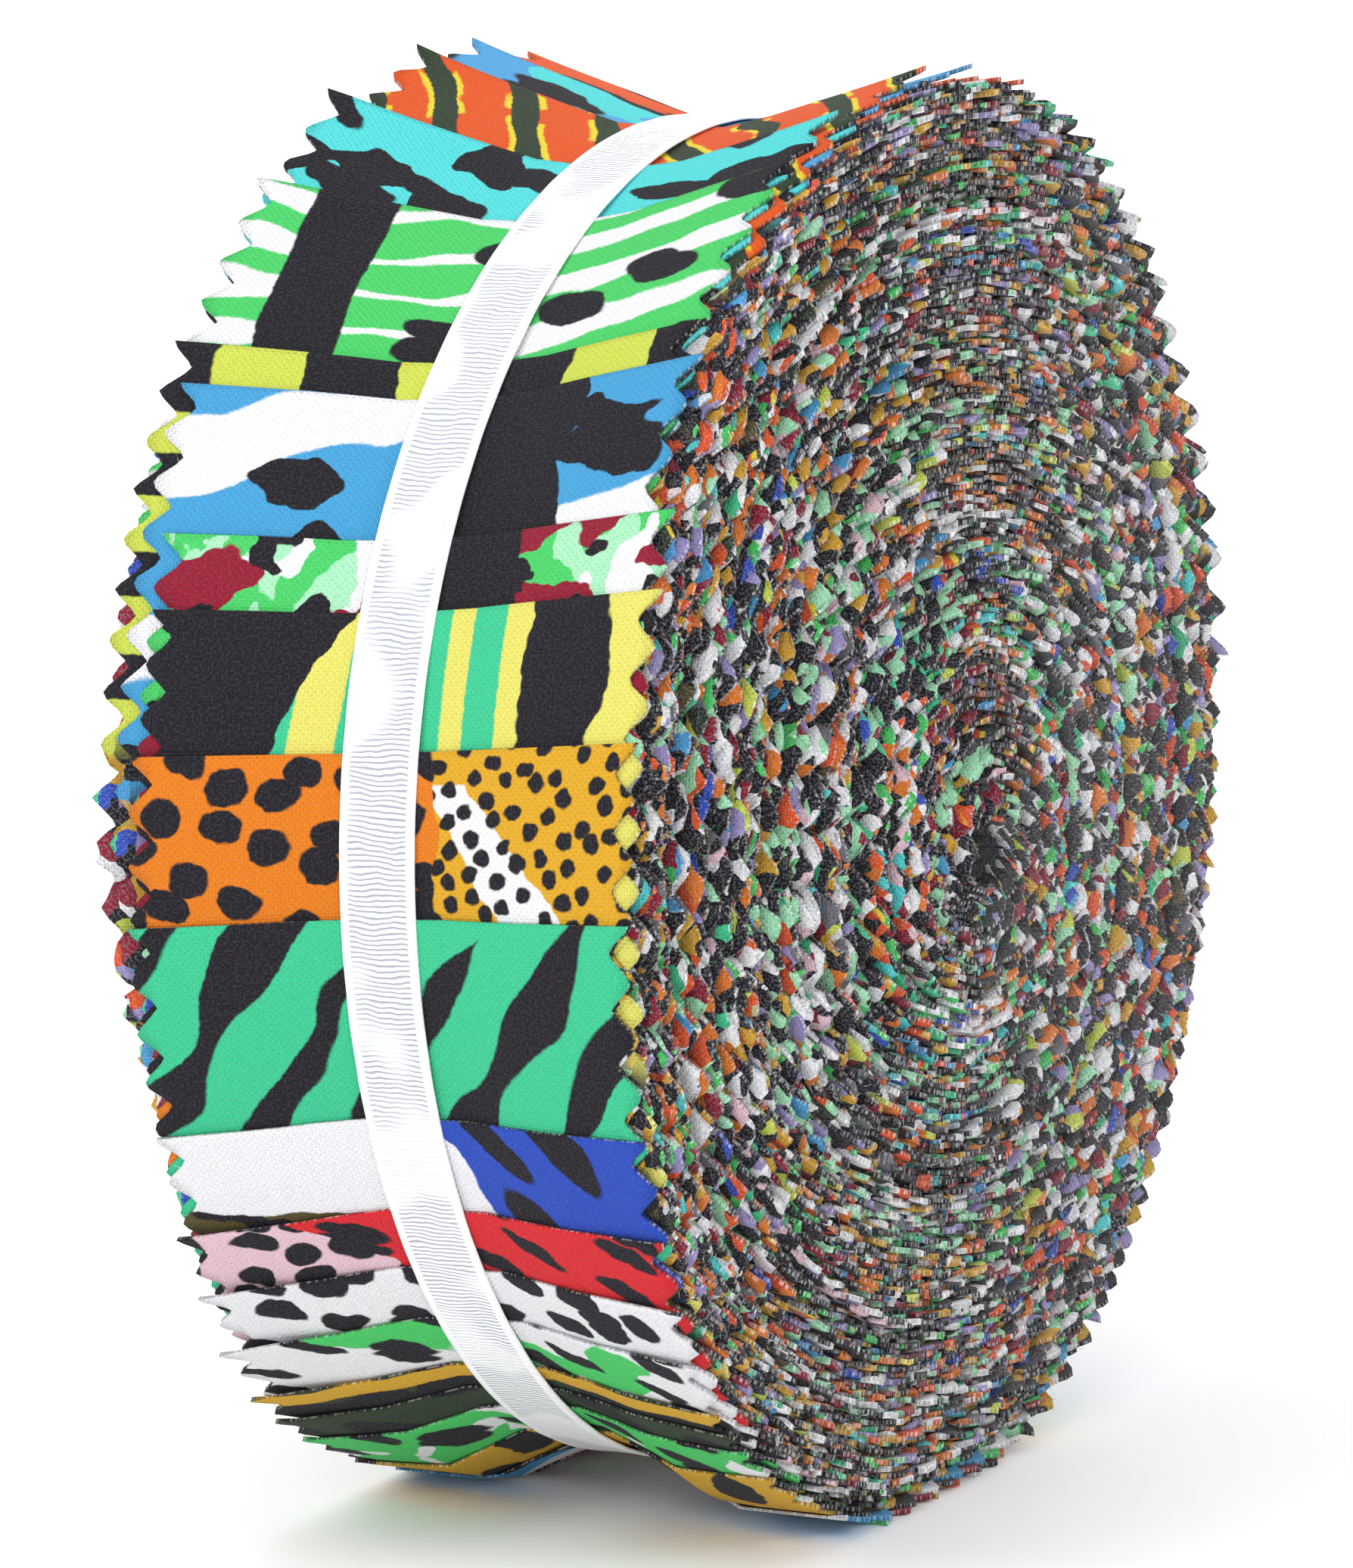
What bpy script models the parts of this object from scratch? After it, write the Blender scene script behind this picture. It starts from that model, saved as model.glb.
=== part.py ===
"""A roll of quilting fabric strips, held by a white ribbon.

Forty strips of printed cotton, each 2.5 in wide and 44 in long with pinked long edges, are
stacked and wound up together into one roll, which stands on its rim. Every strip is the same
length, so the outer ends fall one after another all the way round, each lapping the next like
a roof tile. A woven ribbon runs round the middle of the rim and pulls it in.

Frame: metres, +Z up, origin on the surface under the middle of the roll. The roll's axis runs
along X and the photographed rim faces -Y. An angle round the roll is 0 at -Y, 90 at the top.
"""

import math

import bmesh
import bpy
import numpy as np

# The strips and the roll
STRIP_COUNT = 40
STRIP_WIDTH = 0.0635
ROLL_RADIUS = 0.086
PINK_PITCH = 0.0064
PINK_DEPTH = 0.0027
FLAT_SINK = 0.0016

# Cloth is built 1 mm thick, with a gap of 0.3 mm to what it lies on
CLOTH = 0.001
GAP = 0.0003
STEP = CLOTH + GAP

# The ribbon, a little to the -X side of the middle, in the waist that it pulls in. The waist is
# deepest over the top and under the roll, and its slopes are short where the roll stands.
RIBBON_WIDTH = 0.0095
RIBBON_X = -0.0006
RIBBON_DRIFT = 0.0016
RIBBON_COLUMNS = 90
WAIST_DEPTH = 0.0046
WAIST_MORE = 0.0010
WAIST_HALF = 0.0066
WAIST_MID = 0.017
WAIST_REACH = 0.031
MID_SHARE = 0.46
EDGE_FLARE = 0.0010
FOOT_ANGLE = 42.0

# The roll under the strip ends: the stack's turns show as ridges on its faces, round an off-centre eye
BODY_DEPTH = 2 * STEP + 0.00005
BODY_TEETH = 84
FACE_COLUMNS = 84
FACE_RINGS = 13
FACE_DROP = 0.0006
DOME_HEIGHT = 0.0008
DOME_RADIUS = 0.050
TURN_RIDGE = 0.0008
TURN_PITCH = 0.0208
EYE_RADII = (0.0018, 0.0040)
EYE_DEPTH = 0.0050
EYE_OFFSET = (0.0140, -0.0085)

# Where the strips end round the roll, in degrees at the middle of the width. A cut end's skew is
# how much further round its +X side lies than its -X side, and a shift slides it along X.
FRONT_ENDS = [
    {"angle": -63.5, "skew": 12.0, "shift_mm": -1.0, "cloth": "mustard_bars"},
    {"angle": -56.5, "skew": 8.0, "shift_mm": -1.5, "cloth": "green_brush"},
    {"angle": -52.5, "skew": 6.0, "shift_mm": -1.5, "cloth": "bottle_green"},
    {"angle": -48.5, "skew": 4.5, "shift_mm": -1.5, "cloth": "amber_band"},
    {"angle": -41.5, "skew": 4.0, "shift_mm": -1.0, "cloth": "white_leaf"},
    {"angle": -35.0, "skew": 3.6, "shift_mm": 0.0, "cloth": "white_spot"},
    {"angle": -28.5, "skew": 4.3, "shift_mm": 0.0, "cloth": "red_stroke"},
    {"angle": -19.5, "skew": 4.0, "shift_mm": 0.3, "cloth": "white_cobalt"},
    {"angle": -2.4, "skew": 3.6, "shift_mm": 0.0, "cloth": "teal_zebra"},
    {"angle": 10.9, "skew": 3.9, "shift_mm": 0.2, "cloth": "orange_leopard"},
    {"angle": 22.2, "skew": 4.0, "shift_mm": 0.8, "cloth": "black_lemon"},
    {"angle": 28.3, "skew": 4.2, "shift_mm": 0.4, "cloth": "green_wine"},
    {"angle": 41.3, "skew": 5.2, "shift_mm": -2.3, "cloth": "blue_splash"},
    {"angle": 44.9, "skew": 5.2, "shift_mm": -4.6, "cloth": "lime_block"},
    {"angle": 62.6, "skew": 7.8, "shift_mm": -3.8, "cloth": "green_zebra"},
    {"angle": 72.6, "skew": 3.5, "shift_mm": -3.6, "cloth": "aqua_leaf"},
    {"angle": 85.5, "skew": 4.5, "shift_mm": -1.6, "cloth": "flame_bars"},
    {"angle": 94.0, "skew": 4.0, "shift_mm": -1.2, "cloth": "sky_stroke"},
    {"angle": 103.0, "skew": 4.0, "shift_mm": -0.6, "cloth": "orange_stroke"},
]
BACK_CLOTHS = ("lilac_spot", "teal_zebra", "mustard_bars", "white_spot", "flame_bars", "green_wine", "blue_splash")
BACK_SKEW = 4.2
SKEW_SPREAD = 0.8
ANGLE_SPREAD = 1.1
SIDE_SPREAD = 0.0012
LAP_SHARE = 0.38
ENDS_SEED = 7

# Free corners stand away from the roll where the ribbon lets them: near the top most of all
CORNER_LIFTS = [
    {"angle": 80.0, "reach": 44.0, "left": 0.0022, "right": 0.0016},
    {"angle": -38.0, "reach": 26.0, "left": 0.0016, "right": 0.0006},
    {"angle": 180.0, "reach": 60.0, "left": 0.0009, "right": 0.0009},
]
LIFT_LENGTH = 0.013

# The wound layers slip out on the -X side, where they show past the strips that lie over them
SLIP = {"angle": 28.0, "reach": 46.0, "out": 0.0040}

CLOTH_COLOURS = {
    "mustard_bars": (0.72, 0.50, 0.06),
    "green_brush": (0.18, 0.62, 0.36),
    "bottle_green": (0.04, 0.08, 0.06),
    "amber_band": (0.80, 0.47, 0.08),
    "white_leaf": (0.80, 0.84, 0.80),
    "white_spot": (0.86, 0.84, 0.84),
    "red_stroke": (0.74, 0.07, 0.07),
    "white_cobalt": (0.82, 0.80, 0.80),
    "teal_zebra": (0.13, 0.64, 0.42),
    "orange_leopard": (0.80, 0.30, 0.04),
    "black_lemon": (0.03, 0.03, 0.04),
    "green_wine": (0.16, 0.60, 0.14),
    "blue_splash": (0.09, 0.42, 0.68),
    "lime_block": (0.62, 0.72, 0.10),
    "green_zebra": (0.14, 0.62, 0.20),
    "aqua_leaf": (0.10, 0.68, 0.66),
    "flame_bars": (0.80, 0.16, 0.03),
    "sky_stroke": (0.12, 0.45, 0.72),
    "orange_stroke": (0.78, 0.24, 0.04),
    "lilac_spot": (0.46, 0.38, 0.66),
}
EDGE_COLOUR = (0.10, 0.10, 0.11)
RIBBON_COLOUR = (0.90, 0.90, 0.92)


def clear_scene():
    for obj in list(bpy.data.objects):
        bpy.data.objects.remove(obj)


def finish_material(name, colour, roughness):
    """A Principled BSDF of one colour, made once for each name."""
    found = bpy.data.materials.get(name)
    if found:
        return found
    material = bpy.data.materials.new(name)
    material.use_nodes = True
    shader = material.node_tree.nodes["Principled BSDF"]
    shader.inputs["Base Color"].default_value = (*colour, 1.0)
    shader.inputs["Roughness"].default_value = roughness
    shader.inputs["Metallic"].default_value = 0.0
    return material


def closed_object(name, points, faces, material):
    """One mesh object from its points and faces, with its normals turned outwards."""
    mesh = bpy.data.meshes.new(name)
    mesh.from_pydata([tuple(p) for p in points], [], faces)
    work = bmesh.new()
    work.from_mesh(mesh)
    bmesh.ops.recalc_face_normals(work, faces=work.faces)
    work.to_mesh(mesh)
    work.free()
    mesh.shade_smooth()
    mesh.set_sharp_from_angle(angle=math.radians(35))
    mesh.materials.append(material)
    obj = bpy.data.objects.new(name, mesh)
    bpy.context.scene.collection.objects.link(obj)
    return obj


def ring_faces(columns, rows):
    """Quads of a closed ring: columns run round the roll, and rows run round its section."""
    return [
        (i * rows + j, i * rows + (j + 1) % rows, (i + 1) % columns * rows + (j + 1) % rows, (i + 1) % columns * rows + j)
        for i in range(columns)
        for j in range(rows)
    ]


def sheet_faces(columns, rows):
    """Quads of a thin closed sheet: its outer grid comes first, its inner grid second."""
    inner = columns * rows
    faces = []
    for i in range(columns - 1):
        for j in range(rows - 1):
            a, b, c, d = i * rows + j, i * rows + j + 1, (i + 1) * rows + j + 1, (i + 1) * rows + j
            faces.append((a, b, c, d))
            faces.append((inner + a, inner + d, inner + c, inner + b))
    rim = [j for j in range(rows)]
    rim += [i * rows + rows - 1 for i in range(1, columns)]
    rim += [(columns - 1) * rows + j for j in range(rows - 2, -1, -1)]
    rim += [i * rows for i in range(columns - 2, 0, -1)]
    for a, b in zip(rim, rim[1:] + rim[:1]):
        faces.append((a, inner + a, inner + b, b))
    return faces


def smooth(t):
    """0 below 0, 1 above 1, and an even S between."""
    t = np.clip(t, 0.0, 1.0)
    return t * t * (3 - 2 * t)


def hump(angle, middle, reach, width=1.0):
    """1 at the middle angle, falling evenly to 0 at reach degrees to either side, round the circle.
    A width over 1 makes it flat-topped."""
    away = np.abs((np.asarray(angle) - middle + 180) % 360 - 180)
    return smooth(width * (1 - away / reach))


def ribbon_middle(angle):
    """The ribbon's middle along X: it wanders a little to -X over the front."""
    return RIBBON_X - RIBBON_DRIFT * hump(angle, 22, 75)


def waist_rows(angle):
    """Where the waist's two edges and the middles of its slopes lie along X, at each angle."""
    reaches = (-WAIST_MID, -WAIST_HALF, WAIST_HALF, WAIST_MID)
    return np.stack([ribbon_middle(angle) + reach for reach in reaches], axis=-1)


def side_profile(x, angle):
    """How far the rim stands in or out across its width: in at the ribbon, sloping up in two
    straight runs to each edge, and level outside the first run where the roll stands."""
    away = np.abs(x - ribbon_middle(angle))
    standing = hump(angle, -90, FOOT_ANGLE, 1.8)
    deepest = WAIST_DEPTH + WAIST_MORE * np.sin(np.radians(angle)) ** 2
    at_mid = MID_SHARE * deepest * (1 - standing)
    first_run = np.clip((away - WAIST_HALF) / (WAIST_MID - WAIST_HALF), 0, 1)
    second_run = np.clip((away - WAIST_MID) / (WAIST_REACH - WAIST_MID), 0, None)
    rise = at_mid + EDGE_FLARE * hump(angle, 80, 110)
    return -deepest + (deepest - at_mid) * first_run + rise * second_run


def place(x, angle, depth):
    """The point at this depth under the rim, with the roll's flat spot where it stands."""
    x, angle, depth = np.broadcast_arrays(x, angle, depth)
    turn = np.radians(angle)
    height = ROLL_RADIUS - FLAT_SINK
    down = np.maximum(-np.sin(turn), 1e-6)
    sink = np.maximum(0, ROLL_RADIUS - height / down) * (1 - depth / ROLL_RADIUS) ** 3
    radius = ROLL_RADIUS - depth + side_profile(x, angle) - sink
    return np.stack([x, -radius * np.cos(turn), height + radius * np.sin(turn)], axis=-1)


def strip_ends():
    """Every strip's end angle, skew, sideways shift and cloth, in the order of winding."""
    rng = np.random.default_rng(ENDS_SEED)
    rows = [dict(row) for row in FRONT_ENDS]
    first, last = rows[0]["angle"] + 360, rows[-1]["angle"]
    hidden = STRIP_COUNT - len(rows)
    for n in range(hidden):
        angle = last + (first - last) * (n + 1) / (hidden + 1) + ANGLE_SPREAD * rng.uniform(-1, 1)
        skew = BACK_SKEW + SKEW_SPREAD * rng.uniform(-1, 1)
        rows.append({"angle": angle, "skew": skew, "cloth": BACK_CLOTHS[n % len(BACK_CLOTHS)]})
    for row in rows:
        row["shift"] = row["shift_mm"] / 1000 if "shift_mm" in row else SIDE_SPREAD * rng.uniform(-1, 1)
    return rows


def corner_lift(x, angle, from_end):
    """How far the free corners of a strip that ends at this angle stand off, at a distance from its end."""
    near_end = np.clip(1 - from_end / LIFT_LENGTH, 0, 1) ** 2
    half = STRIP_WIDTH / 2
    left = np.clip((-x - WAIST_HALF) / (half - WAIST_HALF), 0, 1.1) ** 2
    right = np.clip((x - WAIST_HALF) / (half - WAIST_HALF), 0, 1.1) ** 2
    lift = 0
    for row in CORNER_LIFTS:
        share = hump(angle, row["angle"], row["reach"])
        lift = lift + share * (row["left"] * left + row["right"] * right)
    return lift * near_end


def end_angle(row, x):
    """Where a strip's cut end lies at x: its skew is its turn over the whole width."""
    return row["angle"] + row["skew"] * x / STRIP_WIDTH


def strip_sheet(rows, k):
    """The outer end of strip k: a lap under the strip below it, then a rise over that strip's cut
    edge, then a level length up to its own cut end. Returns its outer and its inner grid."""
    row, lower, second = rows[k], dict(rows[k - 1]), dict(rows[k - 2])
    for near in (lower, second):
        if near["angle"] > row["angle"]:
            near["angle"] -= 360
    metres_per_degree = math.radians(ROLL_RADIUS)
    half_tooth = PINK_PITCH / 2
    lap = LAP_SHARE * (lower["angle"] - second["angle"])
    shown = row["angle"] - lower["angle"]
    lap_steps = max(1, round(lap * metres_per_degree / half_tooth))
    shown_steps = max(2, round(shown * metres_per_degree / half_tooth))
    step = np.arange(-lap_steps, shown_steps + 1)
    notch = PINK_DEPTH * (step % 2)
    edge = STRIP_WIDTH / 2 - notch
    middle = waist_rows(lower["angle"] + shown * step / shown_steps)
    x = np.column_stack([row["shift"] - edge, middle, row["shift"] + edge])
    own, below, under = end_angle(row, x), end_angle(lower, x), end_angle(second, x)
    past = np.clip(step, 0, None)[:, None] / shown_steps
    short = np.clip(-step, 0, None)[:, None] / lap_steps
    angle = below + (own - below) * past - LAP_SHARE * (below - under) * short
    level = math.ceil(LAP_SHARE * shown_steps) / shown_steps
    depth = STEP * smooth((1 - past - level) / (1 - level))
    lift = corner_lift(x, row["angle"], (own - angle) * metres_per_degree)
    outer = place(x, angle, depth) + outward(angle) * lift[..., None]
    inner = place(x, angle, depth + CLOTH) + outward(angle) * lift[..., None]
    return outer, inner


def outward(angle):
    """The direction away from the roll's axis at an angle."""
    turn = np.radians(angle)
    return np.stack([np.zeros_like(turn), -np.cos(turn), np.sin(turn)], axis=-1)


def make_strips(rows):
    """The forty lapped strip ends, each its own sheet."""
    for k, row in enumerate(rows):
        outer, inner = strip_sheet(rows, k)
        columns, across = outer.shape[:2]
        points = np.concatenate([outer.reshape(-1, 3), inner.reshape(-1, 3)])
        material = finish_material(row["cloth"], CLOTH_COLOURS[row["cloth"]], 0.85)
        closed_object(f"strip_{k + 1:02d}", points, sheet_faces(columns, across), material)


def slip(angle, radius):
    """How far the outer layers slip out on the -X side, less and less towards the eye."""
    return SLIP["out"] * hump(angle, SLIP["angle"], SLIP["reach"], 1.6) * smooth((radius - 0.045) / 0.035)


def face_relief(radius, angle):
    """How far a face lies in from the strips' full width: the turns' ridges, less a low dome."""
    turns = radius / TURN_PITCH - angle / 360
    ridge = TURN_RIDGE * (1 - np.cos(2 * np.pi * turns))
    dome = DOME_HEIGHT * smooth(1.3 - radius / DOME_RADIUS)
    return FACE_DROP + ridge - dome


def face_ring(side, radius, angle, sunk):
    """One ring of a face, on a circle that moves to the eye's place as it gets smaller."""
    share = (1 - radius / ROLL_RADIUS) ** 1.5
    turn = np.radians(angle)
    height = ROLL_RADIUS - FLAT_SINK
    down = np.maximum(-np.sin(turn), 1e-6)
    sink = np.maximum(0, ROLL_RADIUS - height / down) * (radius / ROLL_RADIUS) ** 3
    x = side * (STRIP_WIDTH / 2 - sunk)
    y = -(radius - sink) * np.cos(turn) + EYE_OFFSET[0] * share
    z = height + (radius - sink) * np.sin(turn) + EYE_OFFSET[1] * share
    return np.stack(np.broadcast_arrays(x, y, z), axis=-1)


def make_roll():
    """The wound strips as one solid: a rim with a pinked edge on each side, and two ridged faces
    that run in to the eye."""
    fine = np.arange(2 * BODY_TEETH) * 360 / (2 * BODY_TEETH)
    coarse = fine[::2]
    notch = PINK_DEPTH * (np.arange(2 * BODY_TEETH) % 2)
    edge = STRIP_WIDTH / 2 - FACE_DROP - notch
    columns = np.column_stack([-edge - slip(fine, ROLL_RADIUS), waist_rows(fine), edge])
    rim = [place(x, fine, BODY_DEPTH) for x in columns.T]
    points, faces = [], []

    def add_ring(ring):
        points.extend(ring)
        return len(points) - len(ring)

    starts = [add_ring(ring) for ring in rim]
    count = 2 * BODY_TEETH
    for a, b in zip(starts, starts[1:]):
        faces += [(a + i, a + (i + 1) % count, b + (i + 1) % count, b + i) for i in range(count)]
    rim_radius = ROLL_RADIUS - BODY_DEPTH
    for side, outer in ((-1, starts[0]), (1, starts[-1])):
        radii = np.linspace(rim_radius, EYE_RADII[1] + 0.003, FACE_RINGS + 1)[1:]
        sunk = [face_relief(r, coarse) + PINK_DEPTH / 2 for r in radii]
        if side < 0:
            sunk = [depth - slip(coarse, r) for depth, r in zip(sunk, radii)]
        rings = [face_ring(side, r, coarse, depth) for r, depth in zip(radii, sunk)]
        rings += eye_rings(side, coarse)
        last = None
        for ring in rings:
            start = add_ring(ring)
            n = FACE_COLUMNS
            if last is None:
                for i in range(n):
                    a, b, c = outer + 2 * i, outer + 2 * i + 1, outer + (2 * i + 2) % count
                    d, e = start + i, start + (i + 1) % n
                    faces += [(a, b, d), (b, e, d), (b, c, e)]
            else:
                faces += [(last + i, last + (i + 1) % n, start + (i + 1) % n, start + i) for i in range(n)]
            last = start
        faces.append([last + i for i in range(FACE_COLUMNS)])
    material = finish_material("pinked_edges", EDGE_COLOUR, 0.95)
    closed_object("roll", points, faces, material)


def eye_rings(side, angle):
    """The eye's mouth and its floor, as narrow ovals."""
    turn = np.radians(angle)
    mouth = STRIP_WIDTH / 2 - FACE_DROP + DOME_HEIGHT - TURN_RIDGE - PINK_DEPTH / 2
    rings = []
    for x, size in ((mouth, 1.0), (mouth - EYE_DEPTH, 0.7)):
        y = EYE_OFFSET[0] - size * EYE_RADII[0] * np.cos(turn)
        z = ROLL_RADIUS - FLAT_SINK + EYE_OFFSET[1] + size * EYE_RADII[1] * np.sin(turn)
        rings.append(np.stack(np.broadcast_arrays(side * x, y, z), axis=-1))
    return rings


def make_ribbon():
    """The ribbon as one closed band in the waist, a gap clear of the strips."""
    angle = np.arange(RIBBON_COLUMNS) * 360 / RIBBON_COLUMNS
    middle, half = ribbon_middle(angle), RIBBON_WIDTH / 2
    corners = ((-half, -STEP), (half, -STEP), (half, -GAP), (-half, -GAP))
    section = [place(middle + across, angle, depth) for across, depth in corners]
    points = np.stack(section, axis=1).reshape(-1, 3)
    material = finish_material("ribbon_white", RIBBON_COLOUR, 0.45)
    closed_object("ribbon", points, ring_faces(RIBBON_COLUMNS, len(section)), material)


def centre_on_origin():
    """Moves everything sideways so that the origin is under the middle of the whole part."""
    meshes = [obj.data for obj in bpy.data.objects]
    points = np.array([v.co for mesh in meshes for v in mesh.vertices])
    middle = (points.min(0) + points.max(0)) / 2
    for mesh in meshes:
        for vertex in mesh.vertices:
            vertex.co.x -= middle[0]
            vertex.co.y -= middle[1]


clear_scene()
make_strips(strip_ends())
make_roll()
make_ribbon()
centre_on_origin()
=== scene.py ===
"""A roll of quilting fabric strips, tied with a white ribbon, on a pale studio floor.

Everything is in metres in the solids' own frame: +Z up, X along the roll's axis, and the rim
that the picture shows towards -Y. An angle round the roll is 0 at -Y and 90 at the top.
"""

import math

import bpy
import numpy as np
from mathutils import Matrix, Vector


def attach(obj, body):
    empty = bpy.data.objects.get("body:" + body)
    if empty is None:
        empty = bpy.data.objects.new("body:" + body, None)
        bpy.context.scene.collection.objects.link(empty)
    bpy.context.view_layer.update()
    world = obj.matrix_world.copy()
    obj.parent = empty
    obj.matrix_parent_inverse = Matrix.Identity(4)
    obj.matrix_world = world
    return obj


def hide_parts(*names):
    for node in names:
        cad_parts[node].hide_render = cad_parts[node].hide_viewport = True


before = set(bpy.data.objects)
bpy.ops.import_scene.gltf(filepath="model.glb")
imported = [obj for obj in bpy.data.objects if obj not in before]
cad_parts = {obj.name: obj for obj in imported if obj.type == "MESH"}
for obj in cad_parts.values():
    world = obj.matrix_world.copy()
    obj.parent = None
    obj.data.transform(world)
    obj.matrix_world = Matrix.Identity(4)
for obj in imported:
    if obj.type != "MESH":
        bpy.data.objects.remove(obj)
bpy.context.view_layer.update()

# Camera: a long lens a metre off, a little above the roll and to the right of its rim
# It looks at the middle of the roll, turned a hair so that the roll sits right of centre.

CAMERA_AZIMUTH = 25.6
CAMERA_ELEVATION = 9.13
CAMERA_DISTANCE = 1.0
PIXELS_PER_RADIAN = 10945.0
PICTURE_HEIGHT = 2072
# The roll's middle lies this many of the picture's pixels right of and below the picture's middle
MIDDLE_OFFSET = (40.5, 3.0)
SENSOR_WIDTH = 36.0
CLIP_NEAR, CLIP_FAR = 0.05, 50.0

# The roll's middle in the solids' frame, and its radius
CENTRE = Vector((0.00173, -0.00042, 0.0844))
RADIUS = 0.086

azimuth, elevation = math.radians(CAMERA_AZIMUTH), math.radians(CAMERA_ELEVATION)
ahead, upward = math.cos(elevation), math.sin(elevation)
back = Vector((math.sin(azimuth) * ahead, -math.cos(azimuth) * ahead, upward))
right = Vector((math.cos(azimuth), math.sin(azimuth), 0.0))
up = back.cross(right)
lens_data = bpy.data.cameras.new("camera")
lens_data.sensor_width = SENSOR_WIDTH
lens_data.sensor_fit = "AUTO"
lens_data.lens = SENSOR_WIDTH * PIXELS_PER_RADIAN / PICTURE_HEIGHT
lens_data.clip_start, lens_data.clip_end = CLIP_NEAR, CLIP_FAR
camera = bpy.data.objects.new("camera", lens_data)
bpy.context.scene.collection.objects.link(camera)
aside, above = (offset / PIXELS_PER_RADIAN for offset in MIDDLE_OFFSET)
aim = CENTRE - right * aside + up * above
camera.location = CENTRE + back * CAMERA_DISTANCE
camera.rotation_euler = (aim - camera.location).to_track_quat("-Z", "Y").to_euler()
bpy.context.scene.camera = camera
bpy.context.scene.view_settings.view_transform = "Standard"

# Studio: a white floor that runs up behind, and soft lamps from the left, above and front
# The floor is a sweep of smooth paper. It and the lamps aren't part of the roll.

FLOOR_HALF = 3.0
FLOOR_BACK = 1.6
SWEEP_RADIUS, SWEEP_STEP = 0.9, 5
WALL_TOP = 3.0
PAPER_COLOUR = (0.97, 0.97, 0.975)
PAPER_ROUGHNESS = 0.75
# Each lamp is white and aims at the roll where its row gives nothing else. The last one stands
# behind the roll, turned away from it, and only lights the paper at the back.
LAMPS = [
    {"name": "key", "at": (-0.95, -1.25, 1.35), "size": 1.3, "watts": 19.5, "tint": (1.0, 0.99, 0.98)},
    {"name": "front", "at": (0.75, -1.7, 0.7), "size": 1.3, "watts": 12.0},
    {"name": "side", "at": (1.7, -0.2, 1.0), "size": 0.7, "watts": 9.0, "tint": (0.98, 0.99, 1.0)},
    {"name": "top", "at": (-0.1, 0.1, 1.7), "size": 1.8, "watts": 8.0},
    {"name": "wall", "at": (0.0, 1.3, 1.6), "size": 1.6, "watts": 60.0, "aim": (0.0, 2.6, 0.9)},
]
WORLD_STRENGTH = 0.52


def grid_faces(columns, rows, closed=False):
    """Quads of a grid whose points run row by row inside column by column; closed joins its last
    column to its first."""
    column = np.arange(columns if closed else columns - 1)[:, None]
    row = np.arange(rows - 1)[None, :]
    after = (column + 1) % columns
    corners = [column * rows + row, column * rows + row + 1, after * rows + row + 1, after * rows + row]
    return np.stack(corners, axis=-1).reshape(-1, 4)


def floor_points():
    """A sweep: flat to the back line, then a quarter circle up, then a straight wall."""
    flat = [(-FLOOR_HALF, 0.0), (FLOOR_BACK, 0.0)]
    turn = np.radians(np.arange(SWEEP_STEP, 90 + SWEEP_STEP, SWEEP_STEP))
    curve = [(FLOOR_BACK + SWEEP_RADIUS * math.sin(a), SWEEP_RADIUS * (1 - math.cos(a))) for a in turn]
    wall = [(FLOOR_BACK + SWEEP_RADIUS, WALL_TOP)]
    profile = np.array(flat + curve + wall)
    x = np.array([-FLOOR_HALF, FLOOR_HALF])
    grid = np.zeros((len(profile), 2, 3))
    grid[..., 0] = x[None, :]
    grid[..., 1] = profile[:, 0, None]
    grid[..., 2] = profile[:, 1, None]
    return grid


sweep = floor_points()
paper_mesh = bpy.data.meshes.new("paper_floor")
paper_mesh.from_pydata(sweep.reshape(-1, 3).tolist(), [], grid_faces(len(sweep), 2).tolist())
paper_mesh.shade_smooth()
paper = bpy.data.objects.new("paper_floor", paper_mesh)
bpy.context.scene.collection.objects.link(paper)
paper_finish = bpy.data.materials.new("white_paper")
paper_finish.use_nodes = True
paper_shader = paper_finish.node_tree.nodes["Principled BSDF"]
paper_shader.inputs["Base Color"].default_value = (*PAPER_COLOUR, 1.0)
paper_shader.inputs["Roughness"].default_value = PAPER_ROUGHNESS
paper_mesh.materials.append(paper_finish)

for lamp in LAMPS:
    light = bpy.data.lights.new(lamp["name"], "AREA")
    light.size = lamp["size"]
    light.energy = lamp["watts"]
    light.color = lamp.get("tint", (1.0, 1.0, 1.0))
    holder = bpy.data.objects.new(lamp["name"], light)
    bpy.context.scene.collection.objects.link(holder)
    holder.location = lamp["at"]
    towards = Vector(lamp.get("aim", CENTRE)) - Vector(lamp["at"])
    holder.rotation_euler = towards.to_track_quat("-Z", "Y").to_euler()

world = bpy.context.scene.world or bpy.data.worlds.new("studio")
bpy.context.scene.world = world
world.use_nodes = True
world_nodes = world.node_tree.nodes
background = world_nodes.get("Background") or world_nodes.new("ShaderNodeBackground")
background.inputs["Color"].default_value = (1.0, 1.0, 1.0, 1.0)
background.inputs["Strength"].default_value = WORLD_STRENGTH

# How the strips wind: forty equal strips in one stack, rolled up together
# Each is 2.5 in by about 44 in. Counted outwards at any angle the layers lie one stack thickness
# apart, and the outer ends fall one after another all the way round, each on the next.

STRIP_COUNT = 40
STRIP_WIDTH = 0.0635
LAYERS_DEEP = 162.0
DEGREES_A_LAYER = 360 / STRIP_COUNT
# A strip's spiral is followed in steps for just over five turns, this far from the strip's middle
SPIRAL_DEGREES, SPIRAL_STEP = 1900, 0.5
MEASURED_AT = 0.025
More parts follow.
